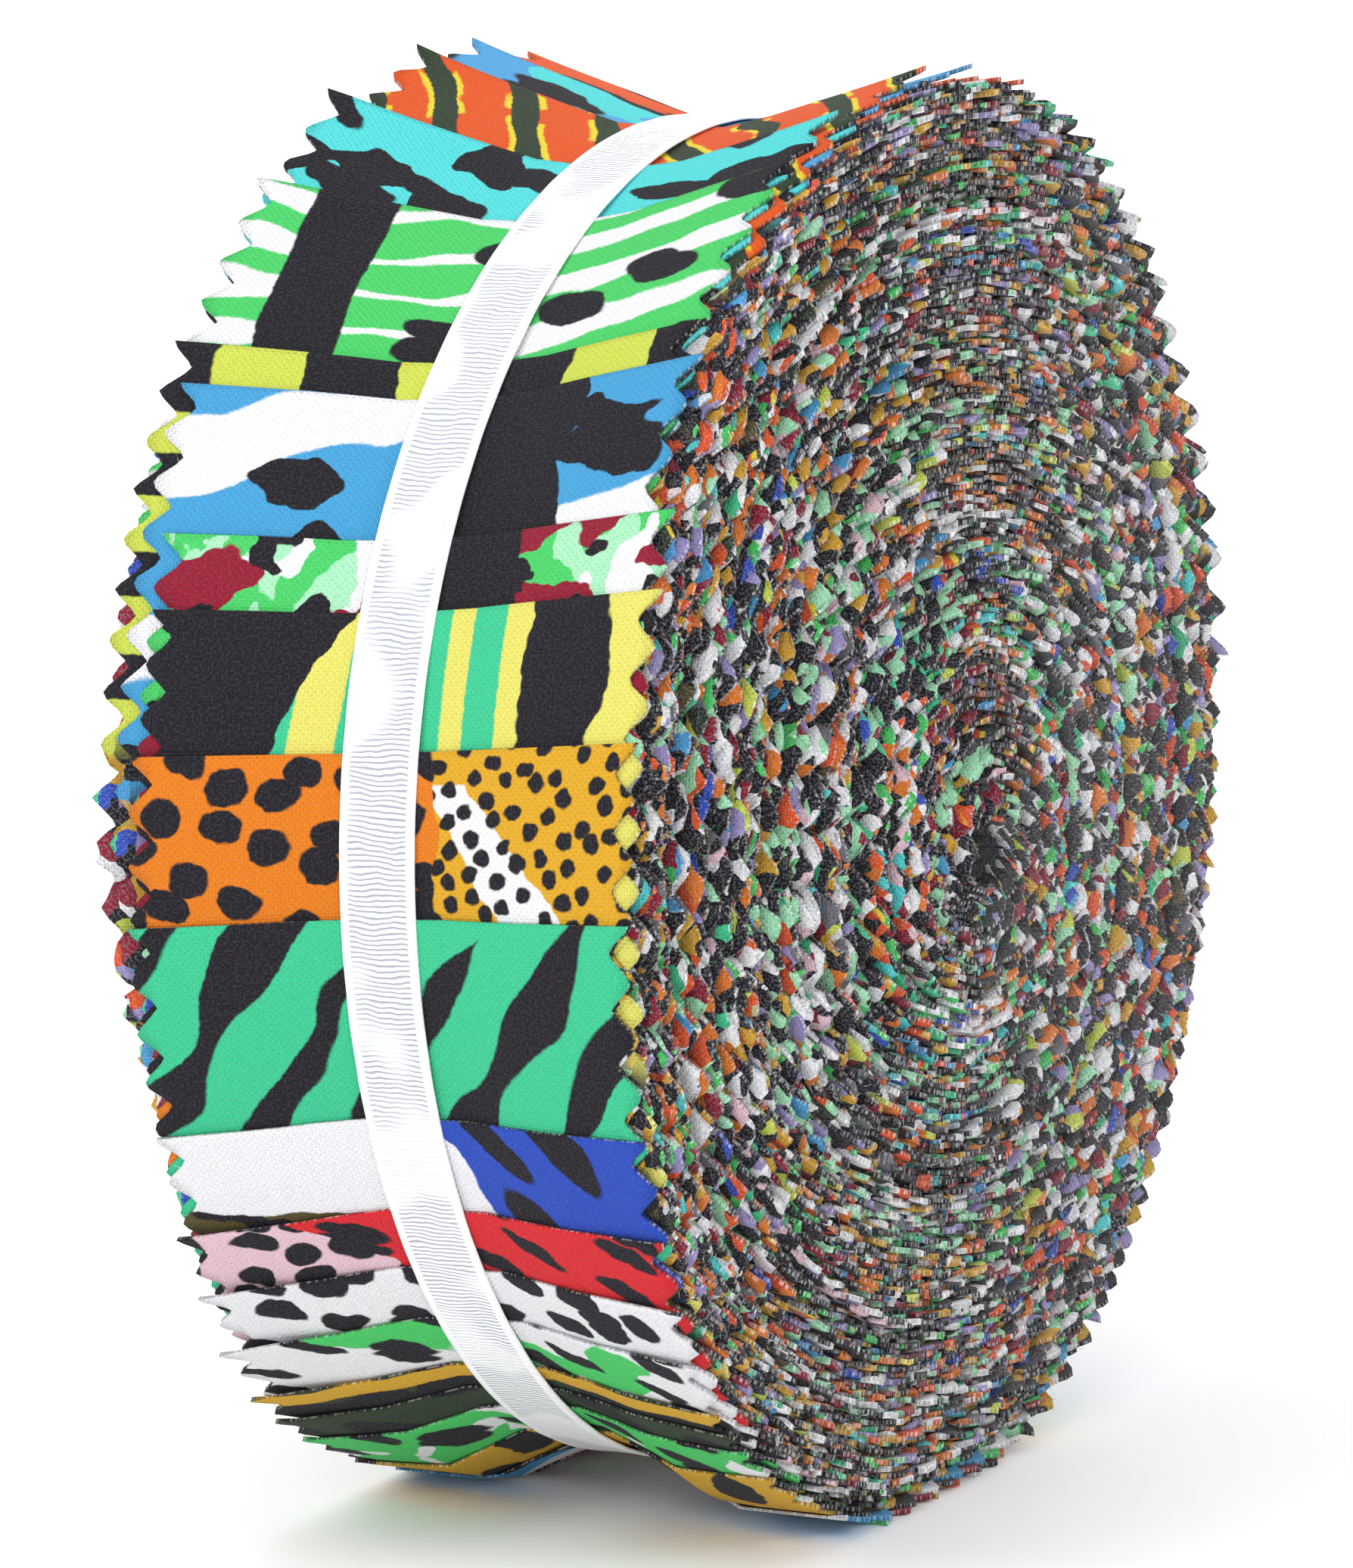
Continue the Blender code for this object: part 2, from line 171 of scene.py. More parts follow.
# The outer ends that the picture shows, from the foot up over the front: the angle, the skew across
# the strip in degrees, the shift along X in millimetres, and the cloth
END_COLUMNS = ("angle", "skew", "shift_mm", "cloth")
ENDS = [
    (-63.5, 12.0, -1.0, "mustard_bars"),
    (-56.5, 8.0, -1.5, "green_brush"),
    (-52.5, 6.0, -1.5, "bottle_green"),
    (-48.5, 4.5, -1.5, "amber_band"),
    (-41.5, 4.0, -1.0, "white_leaf"),
    (-35.0, 3.6, 0.0, "white_spot"),
    (-28.5, 4.3, 0.0, "red_stroke"),
    (-19.5, 4.0, 0.3, "white_cobalt"),
    (-2.4, 3.6, 0.0, "teal_zebra"),
    (10.9, 3.9, 0.2, "orange_leopard"),
    (22.2, 4.0, 0.8, "black_lemon"),
    (28.3, 4.2, 0.4, "green_wine"),
    (41.3, 5.2, -2.3, "blue_splash"),
    (44.9, 5.2, -4.6, "lime_block"),
    (62.6, 7.8, -3.8, "green_zebra"),
    (72.6, 3.5, -3.6, "aqua_leaf"),
    (85.5, 4.5, -1.6, "flame_bars"),
    (94.0, 4.0, -1.2, "sky_stroke"),
    (103.0, 4.0, -0.6, "orange_stroke"),
]
# The ends behind take these cloths in turn, with the spread of their skew, angle and shift
BACK_CLOTHS = (
    "lilac_spot", "teal_zebra", "mustard_bars", "white_spot", "flame_bars", "green_wine", "blue_splash",
)
BACK_SKEW, SKEW_SPREAD, ANGLE_SPREAD, SIDE_SPREAD = 4.2, 0.8, 1.1, 0.0012
ENDS_SEED = 7

# The eye of the roll lies off its middle, a narrow upright oval
EYE_OFFSET = (0.0140, -0.0085)
EYE_RADII = (0.0014, 0.0036)

# The ribbon's waist, the flare towards the edges, and the flat where the roll stands
RIBBON_X, RIBBON_DRIFT, DRIFT_AT = -0.0006, 0.0016, (22, 75)
WAIST_DEPTH, WAIST_MORE = 0.0046, 0.0010
WAIST_HALF, WAIST_MID, WAIST_REACH = 0.0066, 0.017, 0.031
MID_SHARE, EDGE_FLARE, FLARE_AT = 0.46, 0.0010, (80, 110)
FOOT = (-90, 42.0, 1.8)


def smooth(t):
    """0 below 0, 1 above 1, and an even S between: t squared times 3 less 2 t."""
    t = np.clip(t, 0.0, 1.0)
    return t * t * (3 - 2 * t)


def hump(angle, middle, reach, width=1.0):
    """1 at the middle angle, falling evenly to 0 at reach degrees to either side, round the circle.
    A width over 1 makes it flat-topped."""
    away = np.abs((np.asarray(angle) - middle + 180) % 360 - 180)
    return smooth(width * (1 - away / reach))


def strip_ends():
    """Every strip's end angle, skew, shift along X and cloth: those in the table, then the ones
    behind, evenly spread round the back with a little scatter."""
    rng = np.random.default_rng(ENDS_SEED)
    rows = [dict(zip(END_COLUMNS, row)) for row in ENDS]
    first, last = rows[0]["angle"] + 360, rows[-1]["angle"]
    hidden = STRIP_COUNT - len(rows)
    for n in range(hidden):
        angle = last + (first - last) * (n + 1) / (hidden + 1) + ANGLE_SPREAD * rng.uniform(-1, 1)
        skew = BACK_SKEW + SKEW_SPREAD * rng.uniform(-1, 1)
        rows.append({"angle": angle, "skew": skew, "cloth": BACK_CLOTHS[n % len(BACK_CLOTHS)]})
    for row in rows:
        row["shift"] = row["shift_mm"] / 1000 if "shift_mm" in row else SIDE_SPREAD * rng.uniform(-1, 1)
    return rows


strips = strip_ends()
end_angles = np.array([row["angle"] for row in strips])
end_skews = np.array([row["skew"] for row in strips])


def layers_down(k, turned, x):
    """How many layers lie over strip k at x and an angle that keeps its whole turns: the count of
    the outermost layer there, less the strip's own count of forty a turn and its place in the
    stack. The outermost count runs straight from each strip's cut end to the next."""
    ends = end_angles + end_skews * x / STRIP_WIDTH
    tops = ends / DEGREES_A_LAYER + np.arange(STRIP_COUNT)[::-1]
    whole_turns = np.floor((turned - ends[0]) / 360)
    position = turned - 360 * whole_turns
    top = np.interp(position, np.append(ends, ends[0] + 360), np.append(tops, tops[0]))
    own = position / DEGREES_A_LAYER + STRIP_COUNT - 1 - k
    return np.maximum(top - own - STRIP_COUNT * whole_turns, 0.0)


def ribbon_middle(angle):
    """The ribbon's middle along X: it wanders a little to -X over the front."""
    return RIBBON_X - RIBBON_DRIFT * hump(angle, *DRIFT_AT)


def side_profile(x, angle):
    """How far the rim stands in or out across its width: in at the ribbon, rising in two runs to
    each edge, and level outside the first run where the roll stands."""
    away = np.abs(x - ribbon_middle(angle))
    standing = hump(angle, *FOOT)
    deepest = WAIST_DEPTH + WAIST_MORE * np.sin(np.radians(angle)) ** 2
    at_mid = MID_SHARE * deepest * (1 - standing)
    first_run = np.clip((away - WAIST_HALF) / (WAIST_MID - WAIST_HALF), 0, 1)
    second_run = np.clip((away - WAIST_MID) / (WAIST_REACH - WAIST_MID), 0, None)
    rise = at_mid + EDGE_FLARE * hump(angle, *FLARE_AT)
    return -deepest + (deepest - at_mid) * first_run + rise * second_run


def on_roll(x, angle, share, lift=0.0):
    """The point at an angle, on the circle whose radius is this share of the way from the eye to
    the rim. Circles shrink onto the eye's own place, the waist fades as the share squared, and
    the flat at the foot as the share cubed. A lift stands the point further out."""
    x, angle, share, lift = np.broadcast_arrays(x, angle, share, lift)
    turn = np.radians(angle)
    oval = 1 / np.sqrt((np.cos(turn) / EYE_RADII[0]) ** 2 + (np.sin(turn) / EYE_RADII[1]) ** 2)
    down = np.maximum(-np.sin(turn), 1e-6)
    sink = np.maximum(0, RADIUS - CENTRE.z / down) * np.clip(share, 0, 1) ** 3
    radius = oval + (RADIUS - oval) * share + side_profile(x, angle) * share**2 - sink + lift
    drift = np.clip(1 - share, 0, 1) ** 1.5
    y = CENTRE.y - radius * np.cos(turn) + EYE_OFFSET[0] * drift
    z = CENTRE.z + radius * np.sin(turn) + EYE_OFFSET[1] * drift
    return np.stack([x + CENTRE.x, y, z], axis=-1)


def spiral(k):
    """Strip k's spiral from its cut end to the eye, in small steps: the angles with their whole
    turns, and the lengths summed along it."""
    turned = end_angles[k] - np.arange(0, SPIRAL_DEGREES, SPIRAL_STEP)
    share = 1 - layers_down(k, turned, 0.0) / LAYERS_DEEP
    path = on_roll(MEASURED_AT, turned[share > 0], share[share > 0])
    run = np.concatenate([[0], np.cumsum(np.linalg.norm(np.diff(path, axis=0), axis=1))])
    return turned[share > 0], run


spirals = [spiral(k) for k in range(STRIP_COUNT)]

# The strips: printed cotton cut on both long edges with pinking shears
# Forty of them, each a thin sheet wound from the eye out to its own cut end. The layers slide
# past each other a little, so the teeth on the faces stand in uneven ridges.

TOOTH_PITCH = 0.0064
TOOTH_DEPTH = 0.0027
TOOTH_SCATTER = 0.0005
# Fraying fills the wound teeth's notches in part
WORN_NOTCH = 0.78
# Where a tooth's points lie along its pitch, and how deep the notch is there: as cut, then worn
TOOTH = np.array([(0.0, 0.0), (0.13, 0.16), (0.36, 0.78), (0.5, 1.0), (0.64, 0.78), (0.87, 0.16)])
WORN_TOOTH = np.array([(0.0, 0.0), (0.19, 0.13), (0.38, 0.68), (0.5, 1.0), (0.62, 0.68), (0.81, 0.13)])
SHOWN_TEETH = 8
# How far the outer end's teeth are scattered, beside the wound ones
SHOWN_WEAR = 0.25
# The wound length has its inner rows at every third column of points, and its edges at all of them
COLUMN_STEP = 3
CLOTH_THICKNESS = 0.00034
EDGE_THICKNESS = 0.00064
EDGE_CURL = 0.00020
# Where the rows of points lie across a strip, between its teeth
HALF_ROWS = np.array([0.0066, 0.0118, 0.0170, 0.0210, 0.0250, 0.0290])
SHOWN_ROWS = np.concatenate([-HALF_ROWS[::-1], [0.0], HALF_ROWS])
WOUND_ROWS = np.array([-0.0290, -0.0066, 0.0066, 0.0290])
# Corners stand off near the cut end, and no more just past the edge. A row has an angle, the reach
# to either side of it in degrees, and the height to the left and to the right
LIFT_LENGTH, LIFT_CAP = 0.013, 1.1
CORNER_LIFTS = [
    (80.0, 44.0, 0.0022, 0.0016),
    (-38.0, 26.0, 0.0016, 0.0006),
    (180.0, 60.0, 0.0009, 0.0009),
]
# A strip keeps the slip of its outer end for a length, then fades into the wound ones
SLIP_KEPT, SLIP_GONE = 0.060, 0.120
SKEW_GONE = 0.070
RIDGE, RIDGE_PITCH = 0.0005, 0.0208
STACK_SLIP, SLIP_LIMIT = 0.0009, 0.0019
WANDER, WANDER_PERIODS = 0.0005, (0.31, 0.17, 0.071)
# The ripple leaves out the outermost layers, whose share of the radius is over this
RIPPLE, RIPPLE_PERIODS, RIPPLE_BELOW = 0.00005, (0.023, 0.011), 0.99
LEFT_FRAY = 0.4
WINDING_SEED = 31


def corner_lift(x, angle, from_end):
    """How far the free corners of a strip that ends at this angle stand off: the distance across
    from the ribbon squared, times the nearness to the cut end squared."""
    near_end = np.clip(1 - from_end / LIFT_LENGTH, 0, 1) ** 2
    half = STRIP_WIDTH / 2
    outwards = (np.stack([-x, x]) - WAIST_HALF) / (half - WAIST_HALF)
    to_left, to_right = np.clip(outwards, 0, LIFT_CAP) ** 2
    lift = 0.0
    for middle, reach, left, right in CORNER_LIFTS:
        lift = lift + hump(angle, middle, reach) * (left * to_left + right * to_right)
    return lift * near_end


def tooth_columns(first, last, form):
    """Distances from the cut end and notch depths for a run of teeth, from a tooth's form."""
    along = ((np.arange(first, last)[:, None] + form[None, :, 0]) * TOOTH_PITCH).ravel()
    return along, np.tile(form[:, 1], last - first) * TOOTH_DEPTH


def strip_grid(k, along, notch, rows, rng_seed, worn):
    """The outer and inner faces of a stretch of strip k, as two grids of points, and its flat
    coordinates. Across, the first and last rows follow the teeth. Along, the spiral gives the
    angle, and the count of layers above gives the share of the radius."""
    rng = np.random.default_rng(rng_seed)
    row = strips[k]
    half = STRIP_WIDTH / 2
    slip = np.clip(rng.normal(0, STACK_SLIP), -SLIP_LIMIT, SLIP_LIMIT)
    wander = sum(
        rng.uniform(0.5, 1.0) * np.sin(2 * np.pi * along / period + rng.uniform(0, 2 * np.pi))
        for period in WANDER_PERIODS
    )
    ripple = sum(
        np.sin(2 * np.pi * along / period + rng.uniform(0, 2 * np.pi)) for period in RIPPLE_PERIODS
    )
    scatter = worn * TOOTH_SCATTER * rng.uniform(-1, 1, (2, len(along)))
    edge = half - notch
    left = -edge - np.abs(scatter[0]) * LEFT_FRAY + scatter[0]
    middle = np.tile(rows, (len(along), 1))
    across = np.concatenate([left[:, None], middle, (edge + scatter[1])[:, None]], axis=1)
    turned = np.interp(along, spirals[k][1], spirals[k][0])[:, None]
    kept = smooth((SLIP_GONE - along) / (SLIP_GONE - SLIP_KEPT))
    share_here = 1 - layers_down(k, turned[:, 0], 0.0) / LAYERS_DEEP
    ridge = RIDGE * np.cos(2 * np.pi * (RADIUS * share_here / RIDGE_PITCH - turned[:, 0] / 360))
    slid = row["shift"] * kept + (slip + WANDER * wander / 2 + ridge) * (1 - kept)
    x = across + slid[:, None]
    skewed = end_skews[k] * smooth(1 - along / SKEW_GONE)[:, None]
    angle = turned + skewed * x / STRIP_WIDTH
    columns = range(x.shape[1])
    depth = np.stack([layers_down(k, angle[:, j], x[:, j].mean()) for j in columns], axis=1)
    share = 1 - depth / LAYERS_DEEP
    rippled = RIPPLE * ripple[:, None] * (share < RIPPLE_BELOW)
    lift = corner_lift(x, end_angles[k], along[:, None]) + rippled
    lift[:, [0, -1]] += worn * EDGE_CURL * rng.uniform(-1, 1, (len(along), 2))
    thick = np.full(x.shape[1], CLOTH_THICKNESS)
    thick[[0, -1]] = EDGE_THICKNESS
    outer = on_roll(x, angle, share, lift)
    inner = on_roll(x, angle, share, lift - thick)
    flat = np.stack(np.broadcast_arrays(along[:, None], across), axis=-1)
    return outer, inner, flat


def wound_faces(columns, rows, start):
    """The faces of the wound length: between the edges, quads from one kept column to the next.
    Along each edge, a face that takes in every point of the teeth between those columns."""
    here = start + np.arange(0, columns - COLUMN_STEP, COLUMN_STEP)[:, None] * rows
    ahead = here + COLUMN_STEP * rows
    row = np.arange(1, rows - 2)[None, :]
    middle = np.stack([here + row, here + row + 1, ahead + row + 1, ahead + row], axis=-1)
    between = [here + step * rows for step in range(1, COLUMN_STEP)]
    left = np.concatenate([here, here + 1, ahead + 1, ahead, *reversed(between)], axis=1)
    end = rows - 1
    passed = [column + end for column in between]
    right_edge = np.concatenate(
        [here + end - 1, here + end, *passed, ahead + end, ahead + end - 1], axis=1
    )
    return middle.reshape(-1, 4).tolist() + left.tolist() + right_edge.tolist()


def strip_mesh(k):
    """Strip k as one closed sheet: a finely divided outer end, joined to a plainer wound length by
    many-sided faces, with its cut edges closed. Returns its points, their flat coordinates, how
    many of them are on the printed side, its faces, and the points round its cut edge."""
    shown_along, shown_notch = tooth_columns(0, SHOWN_TEETH, TOOTH)
    last_tooth = int(spirals[k][1][-1] / TOOTH_PITCH)
    wound_along, wound_notch = tooth_columns(SHOWN_TEETH, last_tooth, WORN_TOOTH)
    # The wound length ends on a column that has the inner rows' points too
    end = 1 - COLUMN_STEP
    wound_along, wound_notch = wound_along[:end], wound_notch[:end] * WORN_NOTCH
    seed = WINDING_SEED + k
    shown = strip_grid(k, shown_along, shown_notch, SHOWN_ROWS, seed, SHOWN_WEAR)
    wound = strip_grid(k, wound_along, wound_notch, WOUND_ROWS, seed, 1.0)
    across_shown, across_wound = len(SHOWN_ROWS) + 2, len(WOUND_ROWS) + 2
    nearest = [1 + int(np.argmin(np.abs(SHOWN_ROWS - value))) for value in WOUND_ROWS]
    same_rows = [0, *nearest, across_shown - 1]
    shown_size, wound_size = len(shown_along) * across_shown, len(wound_along) * across_wound
    printed_points = np.concatenate([shown[0].reshape(-1, 3), wound[0].reshape(-1, 3)])
    plain_points = np.concatenate([shown[1].reshape(-1, 3), wound[1].reshape(-1, 3)])
    flat = np.concatenate([shown[2].reshape(-1, 2), wound[2].reshape(-1, 2)])
    last = (len(shown_along) - 1) * across_shown
    joint = []
    for j in range(across_wound - 1):
        near = [last + n for n in range(same_rows[j], same_rows[j + 1] + 1)]
        joint.append(near + [shown_size + j + 1, shown_size + j])
    inward = grid_faces(len(shown_along), across_shown).tolist() + joint
    inward += wound_faces(len(wound_along), across_wound, shown_size)
    rim = np.concatenate(
        [
            np.arange(across_shown),
            (np.arange(1, len(shown_along)) + 1) * across_shown - 1,
            shown_size + (np.arange(len(wound_along)) + 1) * across_wound - 1,
            shown_size + wound_size - 2 - np.arange(across_wound - 1),
            shown_size + np.arange(len(wound_along) - 2, -1, -1) * across_wound,
            np.arange(len(shown_along) - 1, 0, -1) * across_shown,
        ]
    )
    used = np.unique(np.concatenate([np.array(face) for face in inward]))
    place = np.zeros(shown_size + wound_size, dtype=int)
    place[used] = np.arange(len(used))
    inward = [place[face].tolist() for face in inward]
    rim = place[rim]
    after = np.roll(rim, -1)
    walls = np.stack([rim, after, after + len(used), rim + len(used)], axis=-1)
    printed = [face[::-1] for face in inward]
    plain = [[len(used) + n for n in face] for face in inward]
    points = np.concatenate([printed_points[used], plain_points[used]])
    return points, np.concatenate([flat[used]] * 2), len(used), printed + plain + walls.tolist(), rim


def ink(red, green, blue):
    """A printed colour, given from 0 to 255 a channel as on a swatch, as the shader's linear light."""
    share = np.array([red, green, blue]) / 255
    linear = np.where(share <= 0.04045, share / 12.92, ((share + 0.055) / 1.055) ** 2.4)
    return (*linear.tolist(), 1.0)


TEAL, MINT, LEAF, LIME = ink(62, 200, 148), ink(170, 232, 190), ink(75, 205, 105), ink(204, 216, 84)
AQUA, SKY, BLUE, COBALT = ink(84, 216, 218), ink(84, 166, 222), ink(70, 160, 212), ink(42, 78, 188)
LEMON, YELLOW, GOLD, MUSTARD = ink(228, 222, 108), ink(238, 214, 56), ink(222, 168, 36), ink(216, 168, 44)
ORANGE, FLAME, RED, WINE = ink(226, 126, 24), ink(226, 88, 26), ink(218, 40, 48), ink(146, 24, 50)
WHITE, PINK, LILAC, OLIVE = ink(240, 240, 244), ink(232, 196, 208), ink(164, 152, 204), ink(88, 78, 40)
BOTTLE, CHARCOAL, GREY = ink(46, 62, 42), ink(30, 28, 35), ink(112, 112, 120)
BARE_COTTON, PALE_FLECK = ink(212, 210, 210), ink(140, 140, 148)

# In millimetres of cloth: the weave's pitch, and how soft a printed outline is
YARN = 0.42
PRINT_EDGE = 0.16
# How far apart the patterns of two seeds lie, how wide noise spreads about a half, and how much
# crisper a blot's outline is than others
SEEDS_APART = (83.0, 57.0)
NOISE_SPREAD = 0.36
BLOT_CRISPNESS = 0.35


class Wire:
    """A node's output on which sums are written: each sum adds a Math node."""

    def __init__(self, finish, socket):
        self.finish, self.socket = finish, socket

    def __abs__(self):
        return self.finish.math("ABSOLUTE", self)


# Each sign works with the wire on its left and on its right
for sign, operation in {"add": "ADD", "sub": "SUBTRACT", "mul": "MULTIPLY", "truediv": "DIVIDE"}.items():
    setattr(Wire, f"__{sign}__", lambda a, b, kind=operation: a.finish.math(kind, a, b))
    setattr(Wire, f"__r{sign}__", lambda a, b, kind=operation: a.finish.math(kind, b, a))


class Finish:
    """A material, and the ways in which its nodes are added."""

    def __init__(self, name):
        self.material = bpy.data.materials.new(name)
        self.material.use_nodes = True
        self.tree = self.material.node_tree
        self.shader = self.tree.nodes["Principled BSDF"]

    def node(self, kind, settings, inputs, output=0):
        """A node of a kind: its settings are set first, then its sockets get values or links."""
        made = self.tree.nodes.new(kind)
        for name, value in settings.items():
            setattr(made, name, value)
        for name, value in inputs.items():
            if isinstance(value, Wire):
                self.tree.links.new(value.socket, made.inputs[name])
            else:
                made.inputs[name].default_value = value
        return Wire(self, made.outputs[output])

    def math(self, operation, *values):
        return self.node("ShaderNodeMath", {"operation": operation}, dict(enumerate(values)))

    def vector_math(self, operation, *values):
        return self.node("ShaderNodeVectorMath", {"operation": operation}, dict(enumerate(values)))

    def scaled(self, vector, scale):
        """A vector or colour times a number."""
        return self.node("ShaderNodeVectorMath", {"operation": "SCALE"}, {0: vector, "Scale": scale})

    def wave(self, value, pitch):
        """A sine of this pitch, from -1 to 1."""
        return self.math("SINE", value * (2 * math.pi / pitch))

    def feed(self, socket, value):
        """Sets one of the shader's sockets, or links it."""
        if isinstance(value, Wire):
            self.tree.links.new(value.socket, self.shader.inputs[socket])
        else:
            self.shader.inputs[socket].default_value = value

    def flat_cloth(self):
        """Millimetres on the flat cloth: X from the cut end, Y across from the middle."""
        flat = self.node("ShaderNodeUVMap", {"uv_map": "flat"}, {})
        return self.scaled(flat, 1000.0)

    def axis(self, vector, letter):
        return self.node("ShaderNodeSeparateXYZ", {}, {0: vector}, "XYZ".index(letter))

    def axes(self, vector):
        """X and Y of a vector."""
        return self.axis(vector, "X"), self.axis(vector, "Y")

    def noise(self, vector, size, seed, detail=2.0, output=0):
        """Soft noise of a grain size in millimetres, from 0 to 1; each seed is its own pattern."""
        apart = (seed * SEEDS_APART[0], seed * SEEDS_APART[1], 0.0)
        moved = self.vector_math("ADD", vector, apart)
        inputs = {"Vector": moved, "Scale": 1 / size, "Detail": detail, "Roughness": 0.5}
        return self.node("ShaderNodeTexNoise", {"noise_dimensions": "2D"}, inputs, output)

    def warped(self, vector, size, amount, seed):
        """The flat cloth pushed about by noise, so that a print's outline wavers."""
        push = self.noise(vector, size, seed, output=1)
        centred = self.vector_math("SUBTRACT", push, (0.5, 0.5, 0.5))
        return self.vector_math("ADD", vector, self.scaled(centred, amount))

    def past(self, value, edge, soft=PRINT_EDGE):
        """0 below an edge and 1 above it, with a soft step."""
        inputs = {"Value": value, "From Min": edge - soft, "From Max": edge + soft}
        return self.node("ShaderNodeMapRange", {"interpolation_type": "SMOOTHSTEP"}, inputs)

    def within(self, value, low, high, soft=PRINT_EDGE):
        """1 between two edges."""
        return self.past(value, low, soft) * (1 - self.past(value, high, soft))

    def over(self, below, above, mask, blend="MIX"):
        """One colour printed over another where the mask is 1. A LIGHTEN blend only shows on what
        is darker."""
        settings = {"data_type": "RGBA", "blend_type": blend}
        return self.node("ShaderNodeMix", settings, {0: mask, 6: below, 7: above}, 2)

    def ramp(self, value, stops):
        """A stepped ramp: each colour holds from its own stop to the next."""
        made = self.node("ShaderNodeValToRGB", {}, {0: value})
        steps = made.socket.node.color_ramp
        steps.interpolation = "CONSTANT"
        for n, (position, colour) in enumerate(stops):
            step = steps.elements[n] if n < 2 else steps.elements.new(position)
            step.position = position
            step.color = colour
        return made

    def strokes(self, vector, slant, along, across, fill, at=(0.0, 0.0), scatter=0.8):
        """Long blots in slanted rows: cells of a scattered grid, stretched to along by across
        millimetres and turned, where a point is nearer to its cell's middle than the fill."""
        turn = {"Location": (*at, 0.0), "Rotation": (0.0, 0.0, math.radians(slant))}
        place = {"Vector": vector, **turn, "Scale": (along, across, 1.0)}
        placed = self.node("ShaderNodeMapping", {"vector_type": "TEXTURE"}, place)
        return self.past(fill - self.cells(placed, 1.0, scatter), 0.0, PRINT_EDGE / across)

    def cells(self, vector, size, scatter, output=0):
        """Scattered cells: how far a point is from its cell's middle, or as output 1 a random colour
        of the cell's own."""
        inputs = {"Vector": vector, "Scale": 1 / size, "Randomness": scatter}
        return self.node("ShaderNodeTexVoronoi", {"voronoi_dimensions": "2D"}, inputs, output)

    def blots(self, vector, size, seed, cover, stretch=(1.0, 1.0), detail=1.5):
        """Blots over about this share of the cloth: where stretched noise is above its edge."""
        placed = self.vector_math("MULTIPLY", vector, (*stretch, 1.0))
        edge = 0.5 + (0.5 - cover) * NOISE_SPREAD
        soft = BLOT_CRISPNESS * PRINT_EDGE / size
        return self.past(self.noise(placed, size, seed, detail), edge, soft)


def waves(finish, cloth, across_u, across_v, pitch, wander, seed):
    """How far a point is from the middle of its band, in pitches: 0 there and 0.5 halfway to the
    next. The bands cross the cloth at a slope, and noise bends them."""
    bent = finish.warped(cloth, 24.0, wander, seed)
    course = (finish.axis(bent, "X") * across_u + finish.axis(bent, "Y") * across_v) / pitch
    return finish.math("PINGPONG", course, 0.5)


def print_teal_zebra(finish, cloth):
    """Black zebra bars, slanted, thick in the middle and running out to points."""
    distance = waves(finish, cloth, 0.72, 1.0, 13.2, 7.0, 3.1)
    width = finish.noise(cloth, 15.0, 5.2, detail=0.5) * 0.8 - 0.20
    return finish.over(TEAL, CHARCOAL, finish.past(width - distance, 0.0, 0.02))


def print_orange_leopard(finish, cloth):
    """Orange with big round spots to the left and golden with small ones to the right, with a
    white wedge that runs down between them."""
    u = finish.axis(cloth, "X")
    v = finish.axis(finish.warped(cloth, 9.0, 5.0, 5.0), "Y")
    coarse = finish.warped(cloth, 6.0, 2.5, 1.0)
    big = finish.strokes(coarse, 68.0, 7.0, 5.6, 0.37, (2.0, 1.0), 0.55)
    fine = finish.warped(cloth, 3.0, 1.2, 2.0)
    small = finish.strokes(fine, 30.0, 3.2, 3.3, 0.32, scatter=0.5)
    bare = finish.within(v - u * 0.75 - 3.5, -4.0, 3.0) * finish.past(u, 4.0)
    ground = finish.over(GOLD, WHITE, bare)
    left = finish.over(ORANGE, CHARCOAL, big)
    return finish.over(left, finish.over(ground, CHARCOAL, small), finish.past(v, 4.5))


def print_black_lemon(finish, cloth):
    """Green and pale yellow upright bands between ragged black blocks."""
    ragged = finish.warped(cloth, 7.0, 5.0, 4.0)
    u, v = finish.axes(ragged)
    straight = finish.axis(cloth, "Y")
    colour = finish.over(TEAL, LEMON, finish.within(straight + u * 0.1, -13.0, -7.5))
    colour = finish.over(colour, LEMON, finish.within(straight, 4.0, 7.0))
    colour = finish.over(colour, LEMON, finish.past(straight, 11.5))
    left = finish.past(0 - v - u * 0.55, 8.5)
    middle = finish.within(v, 14.5, 25.5)
    repeat = finish.blots(ragged, 20.0, 2.0, 0.45) * finish.past(u, 45.0)
    black = finish.math("MAXIMUM", finish.math("MAXIMUM", left, middle), repeat)
    return finish.over(colour, CHARCOAL, black)


def print_green_wine(finish, cloth):
    """Green, mint and white blots, islands of dark red, and a black middle."""
    ragged = finish.warped(cloth, 5.0, 3.0, 6.0)
    mint = finish.blots(ragged, 6.0, 1.0, 0.45, stretch=(0.7, 1.0))
    white = finish.blots(ragged, 7.0, 2.4, 0.32, stretch=(0.7, 1.0))
    wine = finish.blots(ragged, 9.0, 6.1, 0.42, stretch=(1.0, 0.7))
    colour = finish.over(finish.over(LEAF, MINT, mint), WHITE, white)
    v = finish.axis(finish.warped(cloth, 10.0, 8.0, 2.0), "Y")
    dots = finish.blots(ragged, 7.0, 9.0, 0.2)
    black = finish.math("MAXIMUM", finish.within(v, -6.0, 12.0), dots)
    return finish.over(finish.over(colour, WINE, wine), CHARCOAL, black)


